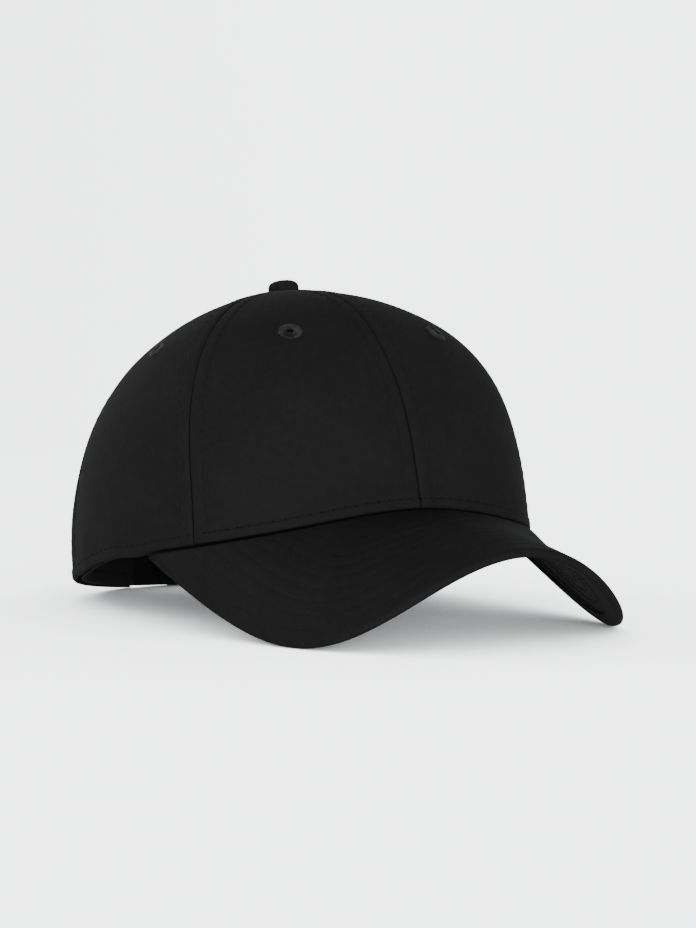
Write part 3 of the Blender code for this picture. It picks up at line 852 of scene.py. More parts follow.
def panel_rises(phi_middle, under_arch):
    """Lengths up the panel at which its rows lie."""
    top = float(meridian_length(phi_middle)) - TOP_GAP
    rows = spread(HEM_STEPS, PANEL_ROWS, np.array(top))
    rows = rows[: -len(HEM_STEPS) + 1]
    rows = np.append(rows, [lerp(rows[-1], top, 0.5), top])
    if under_arch:
        shares = np.arange(1, 15) / 14.5
        heights = ARCH_HEIGHT * (1 - shares**ARCH_POWER) ** (1 / ARCH_POWER)
        ends = np.append(heights, [ARCH_HEIGHT * 0.9999, ARCH_HEIGHT * 1.0001])
        climbs = climb_at_height(np.full(len(ends), math.pi), ends)
        fine = np.interp(climbs, MERIDIAN_CLIMBS[-2], np.linspace(0, 1, MERIDIAN_CLIMBS.shape[1]))
        rows = np.sort(np.append(rows, fine * float(meridian_length(math.pi))))
    return rows


def panel_grid(side, first, last, under_arch):
    """phi, share of the meridian and distances of every point of one panel's grid."""
    start, stop = first * SEAM_TURN, last * SEAM_TURN
    rises = panel_rises((start + stop) / 2, under_arch)
    shares = rises / rises[-1]
    starts = np.full(len(rises), start)
    stops = np.full(len(rises), stop)
    if under_arch:
        stops = arch_turn(shares * (float(meridian_length(math.pi)) - TOP_GAP))
        stops = np.where(stops > math.pi - 1e-4, math.pi, stops)
    tops = meridian_length(np.full(len(rises), (start + stop) / 2)) - TOP_GAP
    speed = turn_speed((starts + stops) / 2, climb_at((starts + stops) / 2, shares * tops))
    width = speed * (stops - starts)
    places = spread(EDGE_STEPS, PANEL_COLUMNS, width - 2 * SEAM_HALF_GAP) + SEAM_HALF_GAP
    phi = starts[:, None] + (stops - starts)[:, None] * places / width[:, None]
    rise = shares[:, None] * (meridian_length(phi) - TOP_GAP)
    return side * phi, rise


def along_rows(points):
    steps = np.linalg.norm(np.diff(points, axis=1), axis=-1)
    return np.concatenate([np.zeros((len(points), 1)), np.cumsum(steps, axis=1)], axis=1)


def add_panel(name, side, first, last, under_arch):
    phi, rise = panel_grid(side, first, last, under_arch)
    across = along_rows(dome(phi, climb_at(phi, rise)))
    room = across[:, -1:]
    away = np.minimum(across, room - across)
    squeeze = np.clip(room / (18 * MM), 0.25, 1)
    relief = seam_relief(across, room / 2) + seam_relief(room - across, room / 2) + hem_relief(rise)
    t = climb_at(phi, rise + visor_gap(phi) * np.clip(1 - rise / (12 * MM), 0, 1))
    outer = crown(phi, t, relief)
    inner = crown(phi, t, -PANEL_THICK)
    middle = room / 2
    if under_arch:
        at_hem = middle[np.searchsorted(rise[:, 0], HEM_STITCH)]
        middle = lerp(at_hem, middle, smooth(ARCH_HEIGHT, 2 * ARCH_HEIGHT, rise[:, :1]))
    uv = np.stack([(across - middle) * side, rise], -1)
    sewing = np.stack([away / squeeze, rise], -1)
    panel = sheet_piece(
        name + "_cloth", outer, inner, "twill", uv, sewing, nodes=(name,)
    )
    cut_eyelet_hole(panel, side * (first + last) / 2 * SEAM_TURN)


def eyelet_frame(phi):
    """The place, in the row frame, with Z out of the crown and Y up it."""
    center = crown(np.array(phi), np.array(EYELET_CLIMB))
    normal = dome_normal(np.array(phi), np.array(EYELET_CLIMB))
    upward = unit(dome(phi, EYELET_CLIMB + 0.01) - dome(phi, EYELET_CLIMB))
    across = np.cross(upward, normal)
    turn = Matrix([[across[i], upward[i], normal[i], center[i]] for i in range(3)] + [[0, 0, 0, 1]])
    return TO_ROW @ turn


def cut_eyelet_hole(panel, phi):
    bm = bmesh.new()
    radius = EYELET_HOLE + 0.9 * MM
    bmesh.ops.create_cone(bm, cap_ends=True, segments=32, radius1=radius, radius2=radius, depth=8 * MM)
    mesh = bpy.data.meshes.new("eyelet_cutter")
    bm.to_mesh(mesh)
    bm.free()
    cutter = bpy.data.objects.new("eyelet_cutter", mesh)
    cutter.matrix_world = eyelet_frame(phi)
    bpy.context.scene.collection.objects.link(cutter)
    hole = panel.modifiers.new("eyelet_hole", "BOOLEAN")
    hole.operation = "DIFFERENCE"
    hole.object = cutter
    bpy.context.view_layer.update()
    graph = bpy.context.evaluated_depsgraph_get()
    cut = bpy.data.meshes.new_from_object(panel.evaluated_get(graph))
    panel.modifiers.clear()
    panel.data = cut
    bpy.data.objects.remove(cutter)
    even = panel.modifiers.new("even_shading", "WEIGHTED_NORMAL")
    even.mode = "FACE_AREA"
    even.keep_sharp = True


def add_panels():
    for side, side_name in ((1, "left"), (-1, "right")):
        for first, place_name in enumerate(("front", "side", "back")):
            add_panel(f"{place_name}_panel_{side_name}", side, first, first + 1, place_name == "back")


def add_buckram():
    for side, side_name in ((1, "left"), (-1, "right")):
        name = f"front_buckram_{side_name}"
        start = np.full(60, 1.0 * MM / HALF_WIDTH)
        shares = np.linspace(0, 1, 60)
        phi = lerp(start[:, None], SEAM_TURN - 0.01, np.linspace(0, 1, 40)[None, :]) * side
        rise = lerp(6.0 * MM, meridian_length(phi) - 12 * MM, shares[:, None])
        t = climb_at(phi, rise)
        outer = crown(phi, t, -BUCKRAM_DEPTH[0])
        inner = crown(phi, t, -BUCKRAM_DEPTH[1])
        uv = np.stack([along_rows(outer) * side, rise], -1)
        piece = sheet_piece(name + "_gauze", outer, inner, "buckram", uv, nodes=(name,))
        cut_eyelet_hole(piece, side * SEAM_TURN / 2)


TAPES = (
    ("seam_tape_front", 0, FRONT_TAPE_DEPTH),
    ("seam_tape_front_left", 1, FRONT_TAPE_DEPTH),
    ("seam_tape_front_right", -1, FRONT_TAPE_DEPTH),
    ("seam_tape_back_left", 2, BACK_TAPE_DEPTH),
    ("seam_tape_back_right", -2, BACK_TAPE_DEPTH),
    ("seam_tape_back", 3, BACK_TAPE_DEPTH),
)


def add_seam_tapes():
    """Woven tape over each seam inside, turned under along both edges, with two stitch rows."""
    half = 7.5 * MM
    runs = []
    for name, step, depth in TAPES:
        middle = step * SEAM_TURN
        low = 55.5 * MM if step == 3 else 26 * MM
        rise = np.linspace(low, float(meridian_length(middle)) - 15.5 * MM, 90)
        t_middle = climb_at(middle, rise)
        speed = turn_speed(middle, t_middle)
        half_places = [0.25, 0.5, 0.66, 0.8, 0.94, 0.985, 1]
        places = np.array([-place for place in half_places[::-1]] + [0] + half_places)
        phi = middle + places[None, :] * half / speed[:, None]
        t = climb_at(phi, rise[:, None] * np.ones(len(places)))
        rounded = 0.16 * MM * (1 - np.abs(places) ** 8) - 0.12 * MM * bump(np.abs(places), 0.66, 0.07)
        inner = crown(phi, t, -depth[1] - rounded[None, :] + 0.1 * MM)
        outer = crown(phi, t, -depth[0] - 0.02 * MM)
        uv = pairs(places[None, :] * half, rise[:, None])
        sheet_piece(name + "_woven", outer, inner, "tape", uv, nodes=(name,))
        for place in (-0.66, 0.66):
            phi_row = middle + place * half / speed
            t_row = climb_at(phi_row, rise)
            path = crown(phi_row, t_row, -depth[1] - 0.02 * MM)
            runs.append((path[2:-2], -dome_normal(phi_row, t_row)[2:-2]))
    add_stitching("seam_tape_stitching", runs, "thread")


def add_seam_stitching():
    """Two rows beside each crown seam, from the hem or the arch to the button."""
    for tape, step, _ in TAPES:
        runs = []
        middle = step * SEAM_TURN
        for side in (-1, 1):
            low = 52 * MM if step == 3 else HEM_STITCH + 2 * MM
            rise = np.linspace(low, float(meridian_length(middle)) - 7.5 * MM, 200)
            speed = turn_speed(middle, climb_at(middle, rise))
            squeeze = np.clip(speed * SEAM_TURN / (18 * MM), 0.25, 1)
            phi = middle + side * SEAM_STITCH * squeeze / speed
            lifted = rise + visor_gap(phi) * np.clip(1 - rise / (12 * MM), 0, 1)
            t = climb_at(phi, lifted)
            path = crown(phi, t, 0.02 * MM)
            runs.append((path, dome_normal(phi, t), rise))
        add_stitching(tape.replace("seam_tape", "crown_stitching"), runs, "thread")


def add_hem_stitching():
    """One row above the hem, counted from the middle of each panel as the cloth is."""
    runs = []
    end = float(arch_turn(np.array(HEM_STITCH))) - 3 * MM / BACK
    for side in (-1, 1):
        for start, stop in ((0, SEAM_TURN), (SEAM_TURN, 2 * SEAM_TURN), (2 * SEAM_TURN, end)):
            phi = side * np.linspace(start + 0.004, stop - 0.004, 260)
            rise = HEM_STITCH + visor_gap(phi) * (1 - HEM_STITCH / (12 * MM))
            t = climb_at(phi, rise)
            path = crown(phi, t, 0.1 * MM)
            steps = np.linalg.norm(np.diff(dome(phi, t), axis=0), axis=1)
            along = np.concatenate([[0], np.cumsum(steps)])
            runs.append((path, dome_normal(phi, t), along - along[-1] / 2))
    add_stitching("hem_stitching", runs, "thread")


def add_arch_stitching():
    """One row round the arch, through the binding behind it."""
    turn = np.linspace(0.16, math.pi - 0.16, 240)
    lean = np.abs(np.cos(turn)) ** (2 / ARCH_POWER) * np.sign(np.cos(turn))
    reach = 5.2 * MM
    height = np.sin(turn) ** (2 / ARCH_POWER) * (ARCH_HEIGHT + reach)
    phi, t = back_spot(lean * (ARCH_HALF_WIDTH + reach), height)
    path = crown(phi, t, 0.02 * MM)
    add_stitching("arch_stitching", [(path, dome_normal(phi, t))], "thread")


def add_arch_binding():
    turn = np.linspace(0.42, math.pi - 0.42, 120)
    wide = np.array([0, 0.03, 0.1, 0.25, 0.5, 0.75, 0.9, 0.97, 1.0])
    reach = lerp(0.4 * MM, 9.0 * MM, wide)[None, :]
    lean = (np.abs(np.cos(turn)) ** (2 / ARCH_POWER) * np.sign(np.cos(turn)))[:, None]
    height = (np.sin(turn) ** (2 / ARCH_POWER))[:, None] * (ARCH_HEIGHT + reach)
    phi, t = back_spot(lean * (ARCH_HALF_WIDTH + reach), height)
    rounded = 0.22 * MM * (1 - np.abs(2 * wide - 1) ** 6)
    outer = crown(phi, t, -1.2 * MM)
    inner = crown(phi, t, -1.5 * MM - rounded[None, :])
    around = along_rows(outer[None, :, 4])[0][:, None]
    uv = pairs(reach, around)
    sheet_piece("arch_binding_tape", outer, inner, "tape", uv, nodes=("arch_binding",))


def add_eyelets():
    """Satin-stitched rings: threads run from the hole's edge out over a padded rim."""
    threads = 44
    per_thread = 4
    barrel = [(1.1, -2.6), (1.1, -1.2), (1.12, -0.3)]
    face = [(1.35, 0.32), (1.85, 0.62), (2.6, 0.72), (3.4, 0.66), (4.0, 0.44), (4.4, 0.18), (4.6, -0.12)]
    back = [(4.4, -0.35), (2.4, -0.35), (1.9, -0.9), (1.9, -2.4), (3.6, -2.5), (3.6, -2.8)]
    profile = np.array(barrel + face + back)
    names = ("front", "side", "back")
    for side, side_name in ((1, "left"), (-1, "right")):
        for i, place_name in enumerate(names):
            rng = np.random.default_rng(20 + i + (3 if side < 0 else 0))
            count = threads * per_thread
            turn = np.arange(count) * 2 * np.pi / count
            ridge = np.abs(np.sin(turn * threads / 2)) ** 0.6
            uneven = np.repeat(rng.uniform(-1, 1, threads), per_thread)
            rings = []
            for radius, height in profile:
                outward = smooth(1.1, 2.0, radius) * (height > -0.3)
                spread_out = 1 + 0.045 * uneven * smooth(3.4, 4.6, radius)
                lifted = height + outward * (0.16 * ridge - 0.08 + 0.05 * uneven)
                rings.append(around_axis(radius * spread_out, lifted, turn))
            grid = np.array(rings) * MM
            uv = pairs(profile[:, :1], turn[None, :]).reshape(-1, 2)
            points = grid.reshape(-1, 3)
            faces = ring_faces(len(profile), count, closed=True)
            if volume_sign(points, faces) < 0:
                faces = [face[::-1] for face in faces]
            local = TO_ROW.inverted() @ eyelet_frame(side * (i + 0.5) * SEAM_TURN)
            matrix = np.array(local)
            placed = points @ matrix[:3, :3].T + matrix[:3, 3]
            node = f"{place_name}_eyelet_{side_name}"
            make_piece(node + "_stitched", placed, faces, "eyelet", uv=uv, nodes=(node,))


def around_axis(radius, height, turn):
    return np.stack([radius * np.cos(turn), radius * np.sin(turn), height + 0 * turn], -1)


def turned_piece(name, profile, segments, center, look, ripple=None, **options):
    """A round piece about the button's axis from (radius, height) points, closed at both ends on the axis."""
    turn = np.arange(segments) * 2 * np.pi / segments
    points = []
    for n, (radius, height) in enumerate(profile):
        wave = ripple(n, turn) if ripple else 0.0
        points.append(around_axis(radius + wave, height, turn))
    points = np.concatenate(points)
    faces = ring_faces(len(profile), segments)
    faces.append(tuple(range(segments))[::-1])
    last = (len(profile) - 1) * segments
    faces.append(tuple(range(last, last + segments)))
    if volume_sign(points, faces) < 0:
        faces = [face[::-1] for face in faces]
    uv = points[:, :2] / MM
    return make_piece(name, points + center, faces, look, uv=uv, **options)


def add_button():
    """A cloth-covered button: flat on top, straight at the sides and gathered in under its rim."""
    seat = HEIGHT + 0.1 * MM
    half = BUTTON_HEIGHT * 0.5
    skirt = [(0.90, -2.4), (0.90, -1.0), (0.90, 0.0), (0.91, 0.5)]
    profile = [(BUTTON_RADIUS * share, seat + rise * MM) for share, rise in skirt]
    for i in range(21):
        turn = lerp(-0.95, math.pi / 2, i / 20)
        radius = BUTTON_RADIUS * max(math.cos(turn), 0.0) ** 0.5
        height = seat + half + half * math.copysign(abs(math.sin(turn)) ** 0.85, math.sin(turn))
        profile.append((max(radius, 0.25 * MM), max(height, seat + 0.6 * MM)))

    def gathers(n, turn):
        strength = max(0.0, 1 - n / 12)
        return 0.08 * MM * strength * np.sin(turn * 20 + 1.3 * np.sin(turn * 3))

    center = np.array([0.0, BACKSET, 0.0])
    turned_piece(
        "button_cloth", profile, 96, center, "button", gathers, nodes=("button_cover",)
    )


def add_sweatband():
    """A folded band round the inside of the hem, with a rolled lower edge and two stitch rows."""
    end = float(arch_turn(np.array(0.0))) - math.radians(0.7)
    phi = np.linspace(-end, end, 420)
    low = [0, 0.01, 0.03, 0.07, 0.12, 0.17, 0.2, 0.25, 0.35]
    share = np.array(low + [0.48, 0.6, 0.72, 0.82, 0.88, 0.93, 0.97, 0.99, 1.0])
    height = hem_height(phi)[:, None] + SWEATBAND_LIFT + SWEATBAND_HEIGHT * share[None, :]
    t = climb_at_height(phi[:, None] + 0 * height, height)
    around = phi * 82 * MM
    puff = 0.30 * smooth(0, 0.06, share) * (1 - smooth(0.94, 1, share))
    rows = -0.28 * (bump(share, 0.18, 0.03) + bump(share, 0.9, 0.03))
    where = bump(share, 0.18, 0.09) + 0.6 * bump(share, 0.6, 0.3)
    ripple = 0.10 * np.sin(around / (5.2 * MM))[:, None] * where
    inner = crown(phi[:, None], t, -SWEATBAND_DEPTH[1] - (puff + rows + ripple) * MM + 0.25 * MM)
    outer = crown(phi[:, None], t, -SWEATBAND_DEPTH[0])
    uv = pairs(around[:, None], height)
    sheet_piece("sweatband_cloth", outer, inner, "band", uv, nodes=("sweatband",))
    runs = []
    for place in (0.18, 0.9):
        level = hem_height(phi) + SWEATBAND_LIFT + SWEATBAND_HEIGHT * place
        t_row = climb_at_height(phi, level)
        path = crown(phi, t_row, -SWEATBAND_DEPTH[1] + 0.18 * MM)
        runs.append((path[3:-3], -dome_normal(phi, t_row)[3:-3]))
    add_stitching("sweatband_stitching", runs, "thread")


def add_care_label():
    """A small blank woven label, its lower corners a little curled; its stitching along the upper edge is not
    drawn.
    """
    phi = math.radians(138) + np.linspace(-0.5, 0.5, 30) * 24 * MM / (100 * MM)
    share = np.linspace(0, 1, 20)
    height = lerp(11 * MM, 26 * MM, share)[None, :] + 0 * phi[:, None]
    t = climb_at_height(phi[:, None] + 0 * height, height)
    curl = 0.9 * MM * (1 - share)[None, :] ** 2 * (0.4 + 0.6 * np.abs(np.linspace(-1, 1, 30))[:, None] ** 3)
    depth = SWEATBAND_DEPTH[1] + 0.55 * MM + curl
    outer = crown(phi[:, None], t, -depth)
    inner = crown(phi[:, None], t, -depth - 0.22 * MM)
    uv = pairs(phi[:, None] * 100 * MM, height)
    sheet_piece("care_label_woven", outer, inner, "label", uv, nodes=("care_label",))


# ---------------------------------------------------------------- visor


def visor_edge(w):
    """The visor's outer edge: a quartic curve from the front middle to the end of the visor's seam."""
    end = dome(np.array(VISOR_END), np.array(0.0))
    front = np.array([0.0, -(FRONT + VISOR_REACH), -VISOR_FRONT_DROP])
    toward = np.array([math.sin(VISOR_END_TURN), -math.cos(VISOR_END_TURN), -VISOR_END_DROP])
    beside = front + np.array([VISOR_FRONT_SPREAD, 0, 0])
    knots = (front, beside, np.array(VISOR_CORNER), end + toward * VISOR_END_REACH, end)
    along = np.abs(w)[..., None]
    point = sum(knot * math.comb(4, i) * (1 - along) ** (4 - i) * along**i for i, knot in enumerate(knots))
    point[..., 0] *= np.where(w < 0, -1, 1)
    return point


def visor_sheet(w, share):
    inner = dome(w * VISOR_END, 0.0)
    camber = VISOR_CAMBER * np.sin(np.pi * np.clip(share, 0, 1)) * (1 - np.minimum(w * w, 1))
    point = lerp(inner, visor_edge(w), share[..., None])
    point[..., 2] += camber
    return point


def visor_length(w):
    return np.linalg.norm(visor_edge(w) - dome(w * VISOR_END, 0.0), axis=-1)


def visor_normal(w, share):
    step = 1e-3
    across = visor_sheet(w + step, share) - visor_sheet(w - step, share)
    forward = visor_sheet(w, share + step) - visor_sheet(w, share - step)
    return unit(np.cross(forward, across))


def visor_point(w, share, out):
    lift = out + lerp(VISOR_SEAM_SET, VISOR_EDGE_SET, share)
    return visor_sheet(w, share) + visor_normal(w, share) * lift[..., None]


def edge_distance(points):
    """How far each point lies from the visor's outer edge."""
    edge = visor_edge(np.linspace(-1, 1, 700))
    flat = points.reshape(-1, 3)
    squares = [
        ((block**2).sum(1)[:, None] + (edge**2).sum(1)[None] - 2 * block @ edge.T).min(1)
        for block in np.array_split(flat, max(len(flat) // 4000, 1))
    ]
    return np.sqrt(np.maximum(np.concatenate(squares), 0)).reshape(points.shape[:-1])


VISOR_REACH_SHARE = 0.996
VISOR_STATIONS = VISOR_REACH_SHARE * np.sin(np.linspace(-1, 1, 380) * np.pi / 2)
ROW_PLACES = VISOR_HEM + VISOR_ROW_PITCH * np.arange(VISOR_ROW_COUNT)


def visor_spots(seam_away):
    """Stations and shares of a grid named by its distances from the visor's seam."""
    shares = seam_away / visor_length(VISOR_STATIONS)[:, None]
    return VISOR_STATIONS[:, None] + 0 * shares, shares


def visor_half(length):
    """Half the visor's thickness: the board stops short of the seam's ends, where only cloth is left."""
    return lerp(0.55 * MM, VISOR_HALF_THICK, smooth(0, 12 * MM, length))


def row_relief(away, seam_away):
    """Sewn channels: a groove at each stitch row and a soft swell between."""
    relief = np.zeros(away.shape)
    for place in ROW_PLACES:
        relief -= 0.17 * bump(away, place, 0.6 * MM)
    between = (away > ROW_PLACES[0]) & (away < ROW_PLACES[-1])
    rise = 0.05 * np.sin(np.pi * ((away - ROW_PLACES[0]) / VISOR_ROW_PITCH)) ** 2
    relief += np.where(between, rise, 0)
    return relief * smooth(1.5 * MM, 6 * MM, seam_away) * MM


def visor_uv(points, offset=0.0):
    """The visor's cloth is cut flat and bent down at the sides: its weave follows the unbent sheet."""
    steps = np.hypot(np.diff(points[..., 0], axis=0), np.diff(points[..., 2], axis=0))
    across = np.concatenate([0 * steps[:1], np.cumsum(steps, axis=0)])
    across -= across[len(across) // 2]
    return np.stack([across, points[..., 1] + offset], -1)


def add_visor_cover():
    """The top cover: from inside the crown, over the board and round its edge, turned under as a hem."""
    length = visor_length(VISOR_STATIONS)[:, None]
    half = visor_half(length)
    nose = np.minimum(half, 0.3 * length)
    tuck = np.array([-0.95, -1.05, -0.9, -0.45])[None, :] * MM + 0 * length
    tucked = np.array([0.9, 0.6, 0.3, 0.0])[None, :] * MM * (1 - VISOR_STATIONS[:, None] ** 2)
    top = lerp(0.25 * MM + 0 * length, length - nose, np.linspace(0, 1, 118)[None, :])
    round_turn = np.linspace(0, math.pi, 15)[None, 1:-1]
    rounded = length - nose * (1 - np.sin(round_turn))
    hem = np.minimum(VISOR_HEM + 0.9 * MM, length * 0.9)
    under = length - lerp(nose, hem, np.linspace(0, 1, 18)[None, :])
    seam_away = np.concatenate([tuck, top, rounded, under], axis=1)
    lifts = (half + tucked, half + 0 * top, half * np.cos(round_turn), -half + 0 * under)
    lift = np.concatenate(lifts, axis=1)
    stations, shares = visor_spots(seam_away)
    away = edge_distance(visor_sheet(stations, shares))
    relief = row_relief(away, seam_away)
    relief[:, -31:] = 0
    relief[:, -18:] -= 0.16 * MM * (bump(away[:, -18:], ROW_PLACES[0], 0.6 * MM))
    relief[:, -18:] *= -1
    relief[:, -18:] += np.linspace(0, 1, 18)[None, :] ** 10 * 0.2 * MM
    dip = -0.6 * MM * np.exp(-np.maximum(seam_away, 0) / (0.5 * MM)) * (lift > 0)
    points = visor_point(stations, shares, lift + relief + dip)
    uv = visor_uv(points, 0.0)
    # beside is the distance from the seam on the cover's upper face; the visor's twill paints its crease
    # shade from it.
    beside = np.where(lift > 0, seam_away, 1.0)
    piece = make_piece(
        "visor_cover_cloth", points.reshape(-1, 3), grid_faces(*points.shape[:2]), "visor",
        uv=uv.reshape(-1, 2) / MM, sewing=np.stack([beside, away], -1).reshape(-1, 2) / MM,
        nodes=("visor_top_cover",),
    )  # fmt: skip
    thicken(piece, 0.38 * MM)


def thicken(piece, thick):
    """Give an open skin its cloth thickness, inward."""
    solid = piece.modifiers.new("cloth", "SOLIDIFY")
    solid.thickness = thick
    solid.offset = -1
    solid.use_rim = True
    bpy.context.view_layer.update()
    graph = bpy.context.evaluated_depsgraph_get()
    made = bpy.data.meshes.new_from_object(piece.evaluated_get(graph))
    piece.modifiers.clear()
    piece.data = made


def add_visor_lining():
    """The under cover, from the visor's seam to inside the turned hem."""
    length = visor_length(VISOR_STATIONS)[:, None]
    stop = length - np.minimum(VISOR_HEM, length * 0.6)
    seam_away = lerp(-VISOR_TUCK + 0 * length, stop, np.linspace(0, 1, 96)[None, :])
    stations, shares = visor_spots(seam_away)
    away = edge_distance(visor_sheet(stations, shares))
    relief = row_relief(away, seam_away)
    half = visor_half(length) - 0.2 * MM
    outer = visor_point(stations, shares, -half - relief)
    inner = visor_point(stations, shares, -half + 0.25 * MM + 0 * shares)
    sheet_piece(
        "visor_lining_cloth", outer, inner, "lining", visor_uv(outer, 0.6),
        nodes=("visor_under_cover",),
    )  # fmt: skip


def add_visor_board():
    """The stiff sheet between the two covers, short of the crown's seam and of the rolled edge."""
    length = visor_length(VISOR_STATIONS)[:, None]
    start = np.minimum(0.5 * MM, 0.1 * length)
    stop = length - np.minimum(2.4 * MM, 0.4 * length)
    stations, shares = visor_spots(lerp(start, stop, np.linspace(0, 1, 60)[None, :]))
    half = lerp(0.12 * MM, 0.7 * MM, smooth(0, 12 * MM, length)) + 0 * shares
    top, under = visor_point(stations, shares, half), visor_point(stations, shares, -half)
    sheet_piece("visor_board_plastic", top, under, "board", visor_uv(top), nodes=("visor_board",))


def visor_rows():
    """(w, share) along each stitch row, a steady distance inside the outer edge."""
    w = np.linspace(-0.975, 0.975, 600)
    shares = np.linspace(0, 1, 160)
    away = edge_distance(visor_sheet(*np.meshgrid(w, shares, indexing="ij")))
    length = visor_length(w)
    rows = []
    for place in ROW_PLACES:
        share = np.array([np.interp(-place, -row, shares, left=-1, right=-1) for row in away])
        keep = (share > 0) & (share * length > 3.5 * MM)
        rows.append((w[keep], share[keep]))
    return rows


def add_visor_stitching():
    sizes = {"pitch": VISOR_STITCH_PITCH, "length": VISOR_STITCH_LENGTH, "radius": 0.2 * MM}
    for name, side, inset in (("top", 1, 0.1 * MM), ("under", -1, 0.34 * MM)):
        runs = []
        for i, (w, share) in enumerate(visor_rows()):
            through_hem = side < 0 and i == 0
            out = VISOR_HALF_THICK - (0.12 * MM if through_hem else inset)
            path = visor_point(w, share, np.full(len(w), side * out))
            runs.append((path, visor_normal(w, share) * side))
        add_stitching(f"visor_{name}_stitching", runs, "thread", **sizes)


# ---------------------------------------------------------------- closure


def strap_axes(x):
    turn = np.arcsin(x / STRAP_RADIUS)
    sine, cosine = np.sin(turn), np.cos(turn)
    level, steep = math.cos(STRAP_LEAN), math.sin(STRAP_LEAN)
    out = np.stack([sine * level, cosine * level, steep + 0 * x], -1)
    up = np.stack([-sine * steep, -cosine * steep, level + 0 * x], -1)
    foot = np.stack([STRAP_RADIUS * sine, STRAP_AXIS_Y + STRAP_RADIUS * cosine, STRAP_BOTTOM + 0 * x], -1)
    return foot, up, out


def strap_point(x, climb, inward):
    foot, up, out = strap_axes(x)
    return foot + up * climb[..., None] - out * np.broadcast_to(inward, x.shape)[..., None]


def strap_cloth(name, span, round_ends, depth, thick, inset, look, relief=0.0, **options):
    """A strip of the closure with rounded corners at the ends named, softly domed across."""
    x_line = lerp(span[0], span[1], (1 - np.cos(np.linspace(0, np.pi, 72))) / 2)
    across = (1 - np.cos(np.linspace(0, np.pi, 20))) / 2
    x, share = np.meshgrid(x_line, across, indexing="ij")
    corner = 5.0 * MM
    trim = np.zeros(x.shape)
    for place in round_ends:
        away = np.abs(x - place)
        inside = np.clip(1 - away / corner, 0, 1)
        trim = np.maximum(trim, corner * (1 - np.sqrt(np.clip(1 - inside**2, 0, 1))))
    low = inset + trim
    high = STRAP_WIDTH - inset - trim
    climb = lerp(low, high, share)
    rounded = np.minimum(np.minimum(share, 1 - share) * STRAP_WIDTH / (0.8 * MM), 1) ** 0.5
    end_away = np.minimum(x - span[0], span[1] - x)
    rounded = np.minimum(rounded, np.clip(end_away / (0.8 * MM), 0, 1) ** 0.5)
    half = thick / 2 * (0.35 + 0.65 * rounded)
    middle = depth + thick / 2
    outer = strap_point(x, climb, middle - half - relief * MM * bump(share, 0.5, 0.4))
    inner = strap_point(x, climb, middle + half)
    uv = np.stack([x, climb], -1)
    return sheet_piece(name, outer, inner, look, uv, **options)


def strap_rows(span, depth, edge=2.2 * MM, sign=1):
    """Stitch rows along both edges of a strap."""
    x = np.linspace(span[0], span[1], 160)
    runs = []
    for climb in (edge, STRAP_WIDTH - edge):
        path = strap_point(x, np.full(len(x), climb), depth)
        runs.append((path, strap_axes(x)[2] * sign))
    return runs


def add_closure():
    cloth = 0.9 * MM
    tape = 0.7 * MM
    gap = 0.3 * MM
    hook_face = cloth + gap
    loop_face = hook_face + tape + gap
    loop_strap_face = loop_face + tape + gap
    hook = strap_cloth(
        "hook_strap_cloth", HOOK_STRAP_X, HOOK_STRAP_X[1:], 0.0, cloth, 0.0, "strap", 0.12,
        body=None, nodes=("hook_strap", "hook_strap_sewn_end"),
    )  # fmt: skip
    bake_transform(hook)
    strap_cloth(
        "loop_strap_cloth", LOOP_STRAP_X, LOOP_STRAP_X[:1], loop_strap_face, cloth, 0.0, "strap",
        body="loop_strap", nodes=("loop_strap",),
    )  # fmt: skip
    strap_cloth(
        "hook_tape_nylon", HOOK_TAPE_X, HOOK_TAPE_X, hook_face - 0.15 * MM, tape, 1.5 * MM, "hooks",
        body="hook_strap", nodes=("hook_tape",),
    )  # fmt: skip
    strap_cloth(
        "loop_tape_nylon", LOOP_TAPE_X, LOOP_TAPE_X, loop_face + 0.15 * MM, tape, 1.5 * MM, "loops",
        body="loop_strap", nodes=("loop_tape",),
    )  # fmt: skip
    outer_rows = strap_rows((HOOK_FOLD_X + 7 * MM, HOOK_STRAP_X[1] - 3.5 * MM), -0.06 * MM)
    add_stitching("hook_strap_stitching", outer_rows, "thread", body="hook_strap")
    inner_span = (LOOP_STRAP_X[0] + 3.5 * MM, LOOP_STRAP_X[1] - 8 * MM)
    inner_rows = strap_rows(inner_span, loop_strap_face + cloth - 0.05 * MM, sign=-1)
    add_stitching("loop_strap_stitching", inner_rows, "thread", body="loop_strap")


# ---------------------------------------------------------------- kept CAD nodes, stage and camera


def dress_cad_nodes():
    for name in ("button_shell", "button_rivet"):
        for place in frame["nodes"][name].material_slots:
            place.material = LOOKS["metal"][1]


def add_stage():
    """A pale paper sweep: flat under the cap and curved up far behind it."""
    width = 14.0
    profile = [(-14.0, 0.0), (-3.0, 0.0), (1.6, 0.0)]
    bend = 1.2
    for i in range(1, 25):
        turn = i / 24 * math.pi / 2
        profile.append((1.6 + bend * math.sin(turn), bend * (1 - math.cos(turn))))
    profile.append((1.6 + bend, 5.0))
    mesh = bpy.data.meshes.new("paper_sweep")
    points = [(x, y, z) for x in (-width, width) for y, z in profile]
    count = len(profile)
    mesh.from_pydata(points, [], [(i, i + count, i + count + 1, i + 1) for i in range(count - 1)])
    mesh.shade_smooth()
    mesh.materials.append(floor_look("pale_paper", (0.84, 0.855, 0.87), 3.5, 0.4))
    sweep = bpy.data.objects.new("paper_sweep", mesh)
    sweep.rotation_euler.z = CAMERA_AZIMUTH
    bpy.context.scene.collection.objects.link(sweep)


def view_way(azimuth, elevation):
    """The direction from the cap towards a viewer."""
    level = math.cos(elevation)
    return Vector((math.sin(azimuth) * level, -math.cos(azimuth) * level, math.sin(elevation)))


